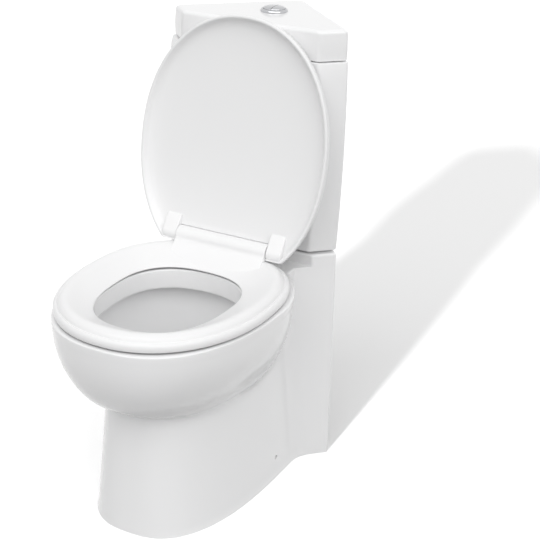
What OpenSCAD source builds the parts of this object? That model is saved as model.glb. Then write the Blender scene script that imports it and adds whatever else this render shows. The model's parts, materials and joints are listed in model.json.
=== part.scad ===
// Corner toilet: close-coupled, cut-corner cistern, seat and lid on one hinge line.
// +Z is up, the user sits facing -Y, and the room's corner is at +Y. Rest: seat down, lid open.

/* [Plan] */
// Distance from the part's origin back to the room's corner
corner_setback = 346.5; // [344:0.5:349]
// Distance from the room's corner forward to the seat's hinge axis
hinge_setback = 287.5; // [285:0.5:292]
// Distance from the room's corner forward to the flush valve and button
valve_setback = 118; // [116:1:124]

/* [Pan] */
// Height of the bowl's rim above the floor
rim_height = 389; // [380:1:392]
// Greatest width of the bowl
bowl_width = 371; // [360:1:380]
// Reach of the bowl in front of the hinge axis
bowl_reach = 401.5; // [395:0.5:404]
// Depth of the bowl's outer shape at its front
bowl_drop = 154; // [140:1:165]
// Width of the flat underside of the bowl
bowl_base_width = 213; // [200:1:225]
// Reach of the flat underside in front of the hinge axis
bowl_base_reach = 301; // [290:1:310]
// Width of the foot at the floor
foot_width = 278; // [264:1:290]
// Reach of the foot in front of the hinge axis
foot_reach = 319.5; // [305:0.5:330]
// Lean of the foot's wall, inwards for each unit of height
foot_lean = 0.078; // [0.06:0.002:0.09]
// Height of the cistern's platform above the bowl's rim
platform_rise = 21; // [17:0.5:27]
// Distance that each side of the rear body stands out at the floor beyond the platform
body_flare = 8; // [4:1:12]
// Thickness of the china
china_wall = 12; // [10:1:14]
// Width of the bowl's mouth inside the rim
mouth_width = 226; // [216:1:232]
// Depth of the inner rim wall
rim_depth = 37; // [32:1:42]
// Outer diameter of the waste outlet
outlet_d = 102; // [98:1:110]
// Bore of the waste outlet
outlet_bore = 88; // [80:1:90]
// Height of the waste outlet's axis
outlet_height = 180; // [170:1:190]
// Bore of the trap
trap_bore = 74; // [66:1:78]
// Height of the sill that the waste climbs over
trap_crown = 226; // [216:1:232]
// Diameter of the side holes that fix the foot to the floor
fixing_bore = 9; // [7:0.5:12]
// Height of the side fixing holes
fixing_height = 38; // [32:0.5:48]

/* [Cistern] */
// Length of each cistern wall that meets a wall of the room
cistern_side = 244; // [238:1:250]
// Width of the two slanted sides of the cistern
cistern_facet = 54; // [50:1:60]
// Gap between the platform and the cistern
cistern_gap = 4; // [3:0.5:6]
// Height of the cistern's body
cistern_height = 350; // [330:1:370]
// Outward bow of the cistern's sides at half height
cistern_bow = 13; // [6:1:16]
// Thickness of the cistern's walls
cistern_wall = 10; // [8:0.5:12]
// Gap of the joint under the cistern's lid
lid_joint = 1.5; // [1:0.5:3]
// Height of the cistern's lid
cistern_lid_height = 53.5; // [46:0.5:58]
// Spacing of the two coupling bolts
bolt_spacing = 124; // [120:1:130]
// Diameter of the coupling bolts
bolt_d = 8; // [6:0.5:9]

/* [Seat and lid] */
// Height of the hinge axis above the bowl's rim
hinge_rise = 41.5; // [40:0.5:44]
// Diameter of the hinge pins
pin_d = 10; // [8:0.5:12]
// Gap between the rim and the underside of the seat
seat_gap = 3.5; // [3:0.5:4.5]
// Width of the seat
seat_width = 365; // [355:1:372]
// Reach of the seat in front of the hinge axis
seat_reach = 399.5; // [392:0.5:404]
// Thickness of the seat at its crest
seat_thickness = 25.5; // [24:0.5:26]
// Width of the seat's hole
hole_width = 220; // [210:1:226]
// Length of the seat's hole
hole_length = 270; // [256:1:276]
// Width of the lid
lid_width = 370; // [362:0.5:374]
// Reach of the lid in front of the hinge axis when closed
lid_reach = 405; // [400:0.5:410]
// Height of the lid above its rim
lid_rise = 20; // [18:0.5:22]
// Angle of the open lid from closed
lid_angle = 100; // [95:0.5:100]
// Spacing of the seat's two fixing holes
seat_fixing_spacing = 155; // [150:1:158]
// Width of the hinge bar between the lid's lugs
hinge_bar_width = 182; // [178:1:188]
// Diameter of the hinge bar
hinge_bar_d = 31; // [29:0.5:32]
// Width of each lid lug
lug_width = 29; // [24:1:30]

/* [Button] */
// Diameter of the chrome bezel
bezel_d = 49; // [46:1:52]
// Height of the bezel above the cistern's lid
bezel_height = 5; // [4:0.5:6]
// Diameter of the two-part button
button_d = 39; // [36:0.5:40]
// Travel of each half of the button
button_travel = 6; // [4:0.5:7]
// Gap between the two halves of the button
button_split = 0.8; // [0.6:0.1:1.2]

/* [Flush valve] */
// Diameter of the flush valve's threaded outlet
valve_tail_d = 58; // [54:1:60]
// Bore of the flush valve's outlet
valve_bore = 48; // [44:1:50]
// Diameter of the flush valve's flange
valve_flange_d = 88; // [82:1:92]
// Outer diameter of the overflow tube
overflow_d = 28; // [24:1:30]
// Distance of the overflow tube's top below the top of the cistern
overflow_drop = 76; // [70:1:90]
// Height of the lever pivots above the bridge
lever_rise = 21; // [20:0.5:23]
// Distance from each lever's pivot to its ends
lever_arm = 12; // [11:0.5:13]

/* [Fill valve] */
// Sideways place of the fill valve, left of the middle
fill_x = 88; // [84:1:92]
// Distance from the room's corner forward to the fill valve
fill_setback = 149; // [145:1:153]
// Diameter of the threaded water inlet
inlet_d = 20.96; // [20:0.02:22]
// Height of the fill valve's head above the cistern's floor
fill_height = 214; // [190:1:230]
// Diameter of the float cup
float_d = 48; // [40:1:52]
// Travel of the float cup
float_travel = 12; // [8:1:14]

/* [Hidden] */

china = [0.95, 0.95, 0.94];
seat_white = [0.96, 0.96, 0.96];
plastic_white = [0.9, 0.9, 0.88];
plastic_grey = [0.62, 0.64, 0.66];
plastic_blue = [0.3, 0.45, 0.62];
chrome = [0.78, 0.79, 0.8];
steel = [0.7, 0.7, 0.68];
brass = [0.78, 0.66, 0.36];
rubber = [0.15, 0.15, 0.15];
foam = [0.25, 0.25, 0.27];

$fn = 48;
side_points = 12;    // points along a quarter of an oval
back_points = 6;     // points from the widest part to the rear
bore_clear = 0.05;   // running fit of a pin, each side
fit = 0.3;           // rest gap between parts that seat on each other
eps = 0.01;

// levels and places that several parts share
hinge_y = corner_setback - hinge_setback;
valve_y = corner_setback - valve_setback;
fill_y = corner_setback - fill_setback;
cistern_half = cistern_side / sqrt(2);
platform_height = rim_height + platform_rise;
hinge_height = rim_height + hinge_rise;
cistern_base = platform_height + cistern_gap;
cistern_floor = cistern_base + china_wall;
cistern_top = cistern_base + cistern_height;
overflow_height = cistern_top - cistern_floor - overflow_drop;
lid_under = cistern_top + lid_joint;
lid_top = lid_under + cistern_lid_height;
lid_shell = cistern_wall;
platform_front = corner_setback - cistern_half - cistern_facet / sqrt(2);
hollow_front = platform_front + china_wall;
shank_r = inlet_d / 2 + 0.5;    // the inlet's tail is thicker where it passes the nut and the china
inlet_hole_d = 46;              // hole in the platform round the inlet

// ---------- plan curves ----------

function oval_front(half, reach, wide_y, power) =
    [for (i = [0:side_points]) let (a = 90 * i / side_points)
        [half * pow(sin(a), 2 / power), wide_y - reach * pow(cos(a), 2 / power)]];

function oval_x(half, back, wide_y, power, y) =
    half * pow(max(0, 1 - pow((y - wide_y) / back, power)), 1 / power);

function oval_back(half, back, wide_y, power, end_y, count) =
    [for (i = [1:count]) let (y = wide_y + (end_y - wide_y) * i / count)
        [oval_x(half, back, wide_y, power, y), y]];

function mirrored(half) =
    concat(half, [for (i = [len(half) - 1:-1:0]) if (half[i][0] > eps) [-half[i][0], half[i][1]]]);

function lifted(ring, z) = [for (p = ring) [p[0], p[1], z]];

function corner_arc(a, p, b, r, n) =
    let (u = (a - p) / norm(a - p), v = (b - p) / norm(b - p), half = acos(u * v) / 2,
         c = p + (u + v) / norm(u + v) * r / sin(half), s = p + u * r / tan(half) - c,
         e = p + v * r / tan(half) - c)
    [for (i = [0:n]) let (q = s * (1 - i / n) + e * (i / n)) c + q / norm(q) * r];

// right half of the cut-corner plan, from the middle of the front to the room's corner
function corner_half(half, facet, back_y, front_y, r_front, r_side, r_back, inset = 0) =
    let (d = inset * sqrt(2),
         h = half - d,
         top = [0, back_y - d],
         side = [h, back_y - d - h],
         front = [h - (side[1] - front_y - inset), front_y + inset],
         mid = [0, front_y + inset])
    concat(corner_arc(mid, front, side, r_front, 4), corner_arc(front, side, top, r_side, 4),
           [for (p = corner_arc(side, top, [-side[0], side[1]], r_back, 6)) if (p[0] > -eps) p]);

// ---------- solids from rings ----------

module skin(rings) {
    n = len(rings[0]);
    top = (len(rings) - 1) * n;
    walls = [for (k = [0:len(rings) - 2], i = [0:n - 1])
        let (a = k * n + i, b = k * n + (i + 1) % n) each [[a, a + n, b], [b, a + n, b + n]]];
    polyhedron([for (r = rings) each r],
               concat([[for (i = [0:n - 1]) i]], walls, [[for (i = [n - 1:-1:0]) top + i]]));
}

// a profile carried round a closed path: loops[i] is the profile at station i
module ring_skin(loops) {
    n = len(loops[0]);
    m = len(loops);
    polyhedron([for (l = loops) each l],
               [for (k = [0:m - 1], i = [0:n - 1])
                   let (a = k * n + i, b = k * n + (i + 1) % n,
                        c = ((k + 1) % m) * n + i, d = ((k + 1) % m) * n + (i + 1) % n)
                   each [[a, b, c], [b, d, c]]]);
}

module rod(a, b, r) {
    d = b - a;
    translate(a)
        rotate([0, acos(d[2] / norm(d)), atan2(d[1], d[0])])
            cylinder(h = norm(d), r = r);
}

module tube(h, r_out, r_in) {
    difference() {
        cylinder(h = h, r = r_out);
        translate([0, 0, -1])
            cylinder(h = h + 2, r = r_in);
    }
}

module x_rod(x0, x1, r, y = hinge_y, z = hinge_height) {
    translate([x0, y, z])
        rotate([0, 90, 0])
            cylinder(h = x1 - x0, r = r);
}

module both_sides() {
    children();
    mirror([1, 0, 0])
        children();
}

// ---------- pan ----------

bowl_half = bowl_width / 2;
bowl_wide_y = hinge_y - 121.5;
bowl_front_y = hinge_y - bowl_reach;
bowl_back = 204;              // reach of the bowl's oval behind its widest part
bowl_back_power = 1.85;
bowl_front_power = 2.4;
neck_y = hinge_y + 26.5;      // where the bowl's sides run straight back
bowl_top = rim_height - 3;    // widest level of the rim
underside_fall = 0.16;        // the bowl's underside drops towards the back
rim_round = 7;

function bowl_spread(u) = pow(max(0, 1 - pow(u, 2.36)), 1.11);
function bowl_sweep(u) = pow(max(0, 1 - pow(u, 2.35)), 0.41);

function bowl_ring(u, inset = 0) =
    let (half = bowl_base_width / 2 + (bowl_half - bowl_base_width / 2) * bowl_spread(u) - inset,
         base_front = hinge_y - bowl_base_reach,
         front = base_front + (bowl_front_y - base_front) * bowl_sweep(u) + inset,
         neck = max(oval_x(half, bowl_back, bowl_wide_y, bowl_back_power, neck_y), 60),
         plan = mirrored(concat(
             oval_front(half, bowl_wide_y - front, bowl_wide_y, bowl_front_power),
             oval_back(half, bowl_back, bowl_wide_y, bowl_back_power, neck_y, back_points),
             [[neck, platform_front + 6]])))
    plan;

function bowl_level(u, y) =
    bowl_top - u * (bowl_drop + underside_fall * (y - (hinge_y - bowl_base_reach)));

function bowl_section(u, inset = 0) = [for (p = bowl_ring(u, inset)) [p[0], p[1], bowl_level(u, p[1])]];

module bowl_body() {
    skin(concat(
        [for (u = [1, 0.98, 0.93, 0.85, 0.74, 0.6, 0.42, 0.22, 0.08, 0]) bowl_section(u)],
        [lifted(bowl_ring(0, rim_round * 0.3), rim_height - rim_round * 0.15),
         lifted(bowl_ring(0, rim_round), rim_height)]));
}

body_half_top = cistern_half + 2.5;
foot_wide_y = hinge_y - 14.5;
foot_power = 2.65;
body_back_y = corner_setback - 2;
body_cut_y = corner_setback - 44;   // the platform stops short of the room's corner

function body_out(z) = body_flare * pow(max(0, 1 - z / platform_height), 0.7);

// foot, cove and rear body at height z: right half, from the nose to the back
function foot_half(z) =
    let (half = foot_width / 2 - foot_lean * z - (z > 0 ? 1.5 : 0),
         reach = foot_wide_y - (hinge_y - foot_reach) - foot_lean * z,
         h = body_half_top + body_out(z),
         side = [h, body_back_y - h],
         line = side[1] - side[0],
         bend = [half, half + line],
         cove = min(26, (bend[1] - foot_wide_y) * 0.5),
         a = bend - [0, cove],
         b = bend + [cove, cove] / sqrt(2))
    concat(oval_front(half, reach, foot_wide_y, foot_power),
           [for (i = [0:4]) let (t = i / 4) a * (1 - t) * (1 - t) + bend * 2 * t * (1 - t) + b * t * t],
           body_rear(side, [b[0], b[1]], 0));

function body_rear(side, before, inset) =
    let (cut = body_cut_y - inset, edge = [body_back_y - cut - inset * sqrt(2), cut])
    concat(corner_arc(before, side, edge, 6, 4), [edge, [0, cut]]);

// platform above the deck: the foot's points gather along its front edge
function platform_half(z, inset) =
    let (d = inset * sqrt(2),
         h = body_half_top + body_out(z) - d,
         side = [h, body_back_y - d - h],
         front_y = platform_front + inset,
         front = [h - (side[1] - front_y), front_y],
         arc = corner_arc([0, front_y], front, side, 9, 4),
         x_end = arc[0][0] - 1)
    concat([for (i = [0:side_points]) let (t = i / side_points) [x_end * t, front_y - 1.5 * (1 - t * t)]],
           arc, body_rear(side, arc[4], inset));

below_floor = 3;    // the foot is drawn a little too long and cut off flat at the floor

module body_shape() {
    deck_join = rim_height - 2.5;
    skin(concat(
        [for (z = [-below_floor, 12, 60, 140, 220, 300, 384]) lifted(mirrored(foot_half(z)), z)],
        [lifted(mirrored(platform_half(deck_join, 0)), deck_join),
         lifted(mirrored(platform_half(platform_height - 4.5, 0)), platform_height - 4.5),
         lifted(mirrored(platform_half(platform_height - 1.5, 1)), platform_height - 1.5),
         lifted(mirrored(platform_half(platform_height, 4)), platform_height)]));
}

// inside of the bowl: half width, front, back and level of each ring, top first
mouth_half = mouth_width / 2;
mouth_front = hinge_y - 331.5;
mouth_back = hinge_y - 53.5;
channel = 28;       // width of the rim's water channel and its lip
sump_level = 122;

function cavity_ring(half, front, back) =
    let (wide = front + (back - front) * 0.57)
    mirrored(concat(oval_front(half, wide - front, wide, 2.4),
                    oval_back(half, (back - wide) * 1.0001, wide, 2.3, back - 0.2, 7),
                    [[0, back]]));

function rim_ring(out, z) = lifted(cavity_ring(mouth_half + out, mouth_front - out, mouth_back + out), z);

module bowl_cavity() {
    lip_low = rim_height - rim_depth;
    skin([lifted(cavity_ring(38, hinge_y - 92, hinge_y - 18), sump_level),
          lifted(cavity_ring(44, hinge_y - 104, hinge_y - 14), sump_level + 38),
          lifted(cavity_ring(52, hinge_y - 128, hinge_y - 18), sump_level + 64),
          lifted(cavity_ring(70, hinge_y - 196, hinge_y - 42), sump_level + 92),
          lifted(cavity_ring(94, hinge_y - 270, hinge_y - 40), sump_level + 124),
          lifted(cavity_ring(120, hinge_y - 326, hinge_y - 34), sump_level + 162),
          lifted(cavity_ring(mouth_half + 24, mouth_front - 24, mouth_back + 24), lip_low - 36),
          rim_ring(channel, lip_low - 8),
          rim_ring(channel - 2, lip_low + 20),
          rim_ring(9, lip_low + 22),
          rim_ring(8, lip_low - 1),
          rim_ring(2, lip_low),
          rim_ring(0, lip_low + 4),
          rim_ring(0, rim_height - 4),
          rim_ring(3.5, rim_height + 1)]);
}

trap_points = [[0, hinge_y - 58, 138], [0, hinge_y + 60, trap_crown],
               [0, hinge_y + 132, outlet_height], [0, hinge_y + 190, outlet_height]];

bend_swell = 0.8;   // the trap widens a little at its bends

module trap(r) {
    for (i = [0:2])
        rod(trap_points[i], trap_points[i + 1], r);
    for (i = [1:2])
        translate(trap_points[i])
            sphere(r = r + bend_swell);
}

side_fixing_y = hinge_y - 23;
outlet_end = corner_setback - outlet_d / 2 - 14;
well_d = 104;
well_depth = 24;
duct_level = rim_height - 22;

module base_hollow() {
    inner = china_wall + 1;
    half = foot_width / 2 - inner;
    reach = foot_wide_y - (hinge_y - foot_reach) - inner;
    plan = mirrored(concat(oval_front(half, reach, foot_wide_y, foot_power),
                           [[half, hollow_front - china_wall]]));
    skin([lifted(plan, -10), lifted([for (p = plan) [p[0] * 0.97, p[1]]], 98)]);
}

module rear_hollow() {
    h = body_half_top - china_wall / sqrt(2) - 4;
    side = body_back_y - h;
    translate([0, 0, -10])
        linear_extrude(platform_height - china_wall - 2 + 10)
            polygon([[-h + side - hollow_front, hollow_front], [h - side + hollow_front, hollow_front],
                     [h, side], [h + 40, side + 40], [h + 40, corner_setback + 20],
                     [-h - 40, corner_setback + 20], [-h - 40, side + 40], [-h, side]]);
}

module flush_duct(grow) {
    translate([0, valve_y, rim_height - 44 - grow])
        cylinder(h = 38 + grow, r = 28 + grow);
    rod([0, hinge_y - 34, duct_level - 6], [0, valve_y, duct_level - 6], 11 + grow);
}

module pan() {
    color(china)
        difference() {
            union() {
                difference() {
                    body_shape();
                    rear_hollow();
                    base_hollow();
                }
                bowl_body();
                difference() {
                    trap(trap_bore / 2 + 10);
                    translate([-100, -200, -10])
                        cube([200, 200 + hollow_front - 6, 500]);
                }
                rod([0, outlet_end - 64, outlet_height], [0, outlet_end, outlet_height], outlet_d / 2);
                difference() {
                    flush_duct(10);
                    translate([-100, -200, 0])
                        cube([200, 200 + hollow_front - 6, 500]);
                }
                translate([0, valve_y, platform_height - well_depth - 10])
                    cylinder(h = well_depth, r = well_d / 2 + 10);
            }
            translate([-300, -400, -60])
                cube([600, 800, 60]);
            bowl_cavity();
            trap(trap_bore / 2);
            rod([0, outlet_end - 70, outlet_height], [0, outlet_end + 1, outlet_height], outlet_bore / 2);
            flush_duct(0);
            translate([0, valve_y, platform_height - well_depth])
                cylinder(h = well_depth + 1, r = well_d / 2);
            both_sides()
                coupling_place(platform_height - 30)
                    cylinder(h = 31, r = bolt_d / 2 + 2);
            translate([-fill_x, fill_y, platform_height - 30])
                cylinder(h = 31, r = inlet_hole_d / 2);
            both_sides()
                translate([seat_fixing_spacing / 2, fixing_y, rim_height - 44])
                    cylinder(h = 45, r = bush_r);
            both_sides()
                rod([foot_width / 2 - 30, side_fixing_y, fixing_height],
                    [foot_width / 2 + 10, side_fixing_y, fixing_height], fixing_bore / 2);
        }
}

// ---------- cistern ----------

function cistern_ring(inset, bow) =
    mirrored(corner_half(cistern_half + bow / sqrt(2), cistern_facet, corner_setback,
                         platform_front - bow * 0.6, 12, 6, 10, inset));

function bow_at(t) = cistern_bow * (1 - pow(abs(t - 0.62) / 0.62, 2));
top_bow = bow_at(1) - 2;

module cistern() {
    color(china)
        difference() {
            skin(concat(
                [lifted(cistern_ring(6, 0), cistern_base), lifted(cistern_ring(1, 0), cistern_base + 4)],
                [for (t = [0.04, 0.15, 0.3, 0.45, 0.62, 0.78, 0.9])
                    lifted(cistern_ring(0, bow_at(t)), cistern_base + cistern_height * t)],
                [lifted(cistern_ring(0, top_bow), cistern_top - 3),
                 lifted(cistern_ring(1.5, top_bow), cistern_top)]));
            skin([lifted(cistern_ring(cistern_wall + 6, 0), cistern_floor),
                  lifted(cistern_ring(cistern_wall, 2), cistern_floor + 12),
                  lifted(cistern_ring(cistern_wall, bow_at(0.5)), cistern_base + cistern_height * 0.5),
                  lifted(cistern_ring(cistern_wall, bow_at(0.8)), cistern_base + cistern_height * 0.8),
                  lifted(cistern_ring(cistern_wall, top_bow), cistern_top + 1)]);
            translate([0, valve_y, cistern_base - 1])
                cylinder(h = china_wall + 2, r = valve_tail_d / 2 + 1.5);
            both_sides()
                coupling_place(cistern_base - 1)
                    cylinder(h = china_wall + 2, r = bolt_d / 2 + 1.5);
            translate([-fill_x, fill_y, cistern_base - 1])
                cylinder(h = china_wall + 2, r = shank_r + 0.8);
        }
}

module cistern_lid() {
    lid_bow = 1;
    flange_in = cistern_wall + 3;
    edge = 7.5;
    color(china)
        difference() {
            union() {
                skin([lifted(cistern_ring(flange_in, lid_bow), lid_under - 11),
                      lifted(cistern_ring(flange_in, lid_bow), lid_under + 5)]);
                skin([lifted(cistern_ring(1.2, lid_bow), lid_under),
                      lifted(cistern_ring(0.2, lid_bow), lid_under + 3),
                      lifted(cistern_ring(0, lid_bow + 1), lid_under + cistern_lid_height * 0.5),
                      lifted(cistern_ring(0.4, lid_bow), lid_top - edge),
                      lifted(cistern_ring(2.2, lid_bow), lid_top - edge * 0.45),
                      lifted(cistern_ring(6, lid_bow), lid_top - 1),
                      lifted(cistern_ring(13, lid_bow), lid_top)]);
            }
            skin([lifted(cistern_ring(flange_in + 7, lid_bow), lid_under - 12),
                  lifted(cistern_ring(flange_in + 7, lid_bow), lid_top - lid_shell - 8),
                  lifted(cistern_ring(flange_in + 16, lid_bow), lid_top - lid_shell)]);
            translate([0, valve_y, lid_top - lid_shell - 1])
                cylinder(h = lid_shell + 2, r = sleeve_r + 0.4);
        }
}

// ---------- cistern joint ----------

bolt_y = platform_front + 34;
nut_height = 12;
wing_level = platform_height - china_wall - 2;

module coupling_place(z) {
    translate([bolt_spacing / 2, bolt_y, z])
        children();
}

module coupling_gasket() {
    color(foam)
        translate([0, valve_y, platform_height - well_depth + fit])
            rotate_extrude()
                difference() {
                    translate([40 + fit, 0])
                        square([well_d / 2 - 40 - 2 * fit, well_depth + cistern_gap - 2 * fit]);
                    translate([well_d / 2, 14])
                        circle(r = 3.5);
                }
}

module coupling_bolts() {
    head_level = cistern_floor + 7;
    color(brass)
        both_sides()
            coupling_place(head_level)
                union() {
                    cylinder(h = 5, r = 9);
                    translate([0, 0, -(head_level - wing_level + 24)])
                        cylinder(h = head_level - wing_level + 24 + eps, r = bolt_d / 2);
                }
}

module coupling_rubber_washers() {
    color(rubber)
        both_sides()
            coupling_place(cistern_floor)
                difference() {
                    cylinder(h = 7, r1 = 14, r2 = 10);
                    translate([0, 0, -1])
                        cylinder(h = 9, r = bolt_d / 2 + bore_clear);
                }
}

module coupling_plate_washers() {
    color(steel)
        both_sides()
            coupling_place(wing_level - 2)
                tube(2, 13, bolt_d / 2 + 0.4);
}

module coupling_wing_nuts() {
    color(brass)
        both_sides()
            coupling_place(wing_level - 2 - 10)
                difference() {
                    union() {
                        cylinder(h = 10, r = 7.5);
                        for (side = [-1, 1])
                            translate([side * 11 - 5, -1.5, 0])
                                cube([10, 3, 9]);
                    }
                    translate([0, 0, -1])
                        cylinder(h = 12, r = bolt_d / 2 + bore_clear);
                }
}

module cistern_pads() {
    color(rubber)
        both_sides()
            translate([22, platform_front + 10, platform_height])
                cube([34, 12, cistern_gap]);
}

// ---------- button ----------

sleeve_r = button_d / 2 + 2;
ledge_top = lid_top - button_travel - 0.5;
rod_x = 13;
rod_r = 3;
split_x = 3;
button_base = lid_top + 1.5;
button_dome = 8;

module button_bezel() {
    pocket_r = button_d / 2 + fit;
    color(chrome)
        translate([0, valve_y, 0])
            difference() {
                union() {
                    rotate_extrude()
                        polygon([[0, lid_top - 30], [sleeve_r, lid_top - 30], [sleeve_r, lid_top],
                                 [bezel_d / 2, lid_top], [bezel_d / 2, lid_top + 1.6],
                                 [bezel_d / 2 - 2, lid_top + bezel_height - 0.6],
                                 [bezel_d / 2 - 3.4, lid_top + bezel_height], [0, lid_top + bezel_height]]);
                }
                translate([0, 0, ledge_top])
                    cylinder(h = 40, r = pocket_r);
                translate([0, 0, lid_top - 31])
                    cylinder(h = ledge_top - 4 - lid_top + 31, r = sleeve_r - 2);
                for (x = [-rod_x, rod_x])
                    translate([x, 0, lid_top - 40])
                        cylinder(h = 60, r = rod_r + 0.4);
            }
}

module button_nut() {
    color(plastic_white)
        translate([0, valve_y, lid_top - lid_shell - 8])
            difference() {
                union() {
                    cylinder(h = 7.7, r = 28);
                    for (i = [0:7])
                        rotate([0, 0, 45 * i])
                            translate([26.5, -3, 0])
                                cube([4, 6, 7.7]);
                }
                translate([0, 0, -1])
                    cylinder(h = 10, r = sleeve_r + bore_clear);
            }
}

module button_shape() {
    r = button_d / 2;
    rotate_extrude()
        polygon([[0, 0], [r - 0.6, 0], [r, 0.6], [r, 4.2], [r - 0.8, 5.4], [r - 3.5, 6.9], [r - 8, 7.7],
                 [r - 13, button_dome], [0, button_dome]]);
}

module full_flush_button() {
    color(chrome)
        translate([0, valve_y, button_base])
            intersection() {
                button_shape();
                translate([-50, -50, -1])
                    cube([50 + split_x - button_split / 2, 100, 20]);
            }
}

module half_flush_button() {
    color(chrome)
        translate([0, valve_y, button_base])
            intersection() {
                button_shape();
                translate([split_x + button_split / 2, -50, -1])
                    cube([50, 100, 20]);
            }
}

bridge_level = cistern_floor + overflow_height + 14;
lever_level = bridge_level + lever_rise;
pivot_x = 14;
lever_thick = 4;
foot_gap = 0.8;
foot_level = lever_level + lever_thick / 2 + foot_gap;
foot_rise = 8;
lever_y = 6.5;
lever_width = 5.2;

module push_rod(side) {
    x = side * rod_x;
    pad_x = side * (pivot_x + lever_arm + 1);
    color(plastic_white)
        translate([0, valve_y, 0])
            union() {
                translate([x, 0, foot_level + foot_rise])
                    cylinder(h = button_base - foot_level - foot_rise, r = rod_r);
                translate([min(x, pad_x) - 2, side * lever_y - 3, foot_level + foot_rise])
                    cube([abs(pad_x - x) + 4, 6, 3]);
                translate([x - 3, min(0, side * lever_y) - 3, foot_level + foot_rise])
                    cube([6, lever_y + 6, 3]);
                translate([pad_x - 2, side * lever_y - 3, foot_level])
                    cube([4, 6, foot_rise + 1]);
            }
}

module full_push_rod() {
    push_rod(-1);
}

module half_push_rod() {
    push_rod(1);
}

// a coil of round wire standing on z = 0, with its free height
module coil(turns, height, radius, wire) {
    per_turn = 8;
    sides = 6;
    count = turns * per_turn;
    rings = [for (i = [0:count])
        let (a = 360 * i / per_turn, z = wire + (height - 2 * wire) * i / count)
        [for (j = [0:sides - 1]) let (b = -360 * j / sides)
            [(radius + wire * cos(b)) * cos(a), (radius + wire * cos(b)) * sin(a), z + wire * sin(b)]]];
    skin(rings);
}

spring_turns = 4;
spring_wire = 0.4;

module button_spring(side) {
    color(steel)
        translate([side * rod_x, valve_y, ledge_top + fit])
            coil(spring_turns, button_base - ledge_top - 2 * fit, rod_r + 1.3, spring_wire);
}

module full_button_spring() {
    button_spring(-1);
}

module half_button_spring() {
    button_spring(1);
}

// ---------- flush valve ----------

washer_thick = 3;
flange_level = cistern_floor + washer_thick;
seat_level = flange_level + 5;
cage_r = 38;
cage_top = seat_level + 70;
seal_r = valve_bore / 2 + 4;

module flush_valve_body() {
    color(plastic_white)
        translate([0, valve_y, 0])
            difference() {
                union() {
                    translate([0, 0, flange_level])
                        cylinder(h = 5, r = valve_flange_d / 2);
                    translate([0, 0, cistern_base - 27])
                        cylinder(h = flange_level - cistern_base + 28, r = valve_tail_d / 2);
                    for (a = [45:90:315])
                        rotate([0, 0, a])
                            translate([cage_r - 3, -4, seat_level - 1])
                                cube([4, 8, cage_top - seat_level + 1]);
                    translate([0, 0, cage_top - 6])
                        tube(6, cage_r + 3, cage_r - 6);
                }
                translate([0, 0, cistern_base - 30])
                    cylinder(h = 100, r = valve_bore / 2);
            }
}

module flush_valve_washer() {
    color(rubber)
        translate([0, valve_y, cistern_floor])
            tube(washer_thick, valve_flange_d / 2 - 2, valve_tail_d / 2 + 0.4);
}

module flush_valve_nut() {
    color(plastic_white)
        translate([0, valve_y, cistern_base - nut_height])
            difference() {
                cylinder(h = nut_height, r = 40, $fn = 8);
                translate([0, 0, -1])
                    cylinder(h = nut_height + 2, r = valve_tail_d / 2 + bore_clear);
            }
}

column_x = cage_r - 1.5;
reserve_y = 17;

module valve_bridge() {
    color(plastic_white)
        translate([0, valve_y, 0])
            difference() {
                union() {
                    both_sides()
                        translate([column_x, 0, cage_top])
                            cylinder(h = bridge_level - cage_top + 1, r = 3.5);
                    translate([-column_x - 5, -13, bridge_level])
                        cube([2 * column_x + 10, 34, 4]);
                    for (side = [-1, 1], reach = [-4.1, 4.1])
                        translate([side * pivot_x - 4, side * lever_y + reach - 1.2, bridge_level + 3])
                            cube([8, 2.4, lever_level - bridge_level + 1]);
                }
                translate([0, 0, bridge_level - 1])
                    cylinder(h = 6, r = 4);
                translate([0, reserve_y, bridge_level - 1])
                    cylinder(h = 6, r = 3);
                both_sides()
                    translate([column_x, 0, bridge_level - 12])
                        cylinder(h = 20, r = 1.4);
                both_sides()
                    translate([pivot_x, 20, lever_level])
                        rotate([90, 0, 0])
                            cylinder(h = 40, r = 1.5 + bore_clear);
            }
}

module bridge_screws() {
    color(steel)
        both_sides()
            translate([column_x, valve_y, bridge_level + 4])
                union() {
                    cylinder(h = 2, r = 3);
                    translate([0, 0, -12])
                        cylinder(h = 12 + eps, r = 1.35);
                }
}

// lever with its pivot on x = side * pivot_x; its finger lifts a hook near the middle
module lever(side) {
    y0 = side * lever_y - lever_width / 2;
    color(plastic_grey)
        translate([0, valve_y, 0])
            difference() {
                union() {
                    translate([side > 0 ? pivot_x - lever_arm : -pivot_x - lever_arm - 3, y0,
                               lever_level - lever_thick / 2])
                        cube([2 * lever_arm + 3, lever_width, lever_thick]);
                    translate([side * pivot_x, y0, lever_level])
                        rotate([-90, 0, 0])
                            cylinder(h = lever_width, r = 3.4);
                }
                translate([side * pivot_x, -20, lever_level])
                    rotate([-90, 0, 0])
                        cylinder(h = 40, r = 1.5 + bore_clear);
            }
}

module full_flush_lever() {
    lever(-1);
}

module half_flush_lever() {
    lever(1);
}

module lever_pins() {
    color(steel)
        for (side = [-1, 1])
            translate([side * pivot_x, valve_y + side * lever_y - 5.8, lever_level])
                rotate([-90, 0, 0])
                    cylinder(h = 11.6, r = 1.5);
}

hook_gap = 0.8;
hook_level = lever_level + lever_thick / 2 + hook_gap;

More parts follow.
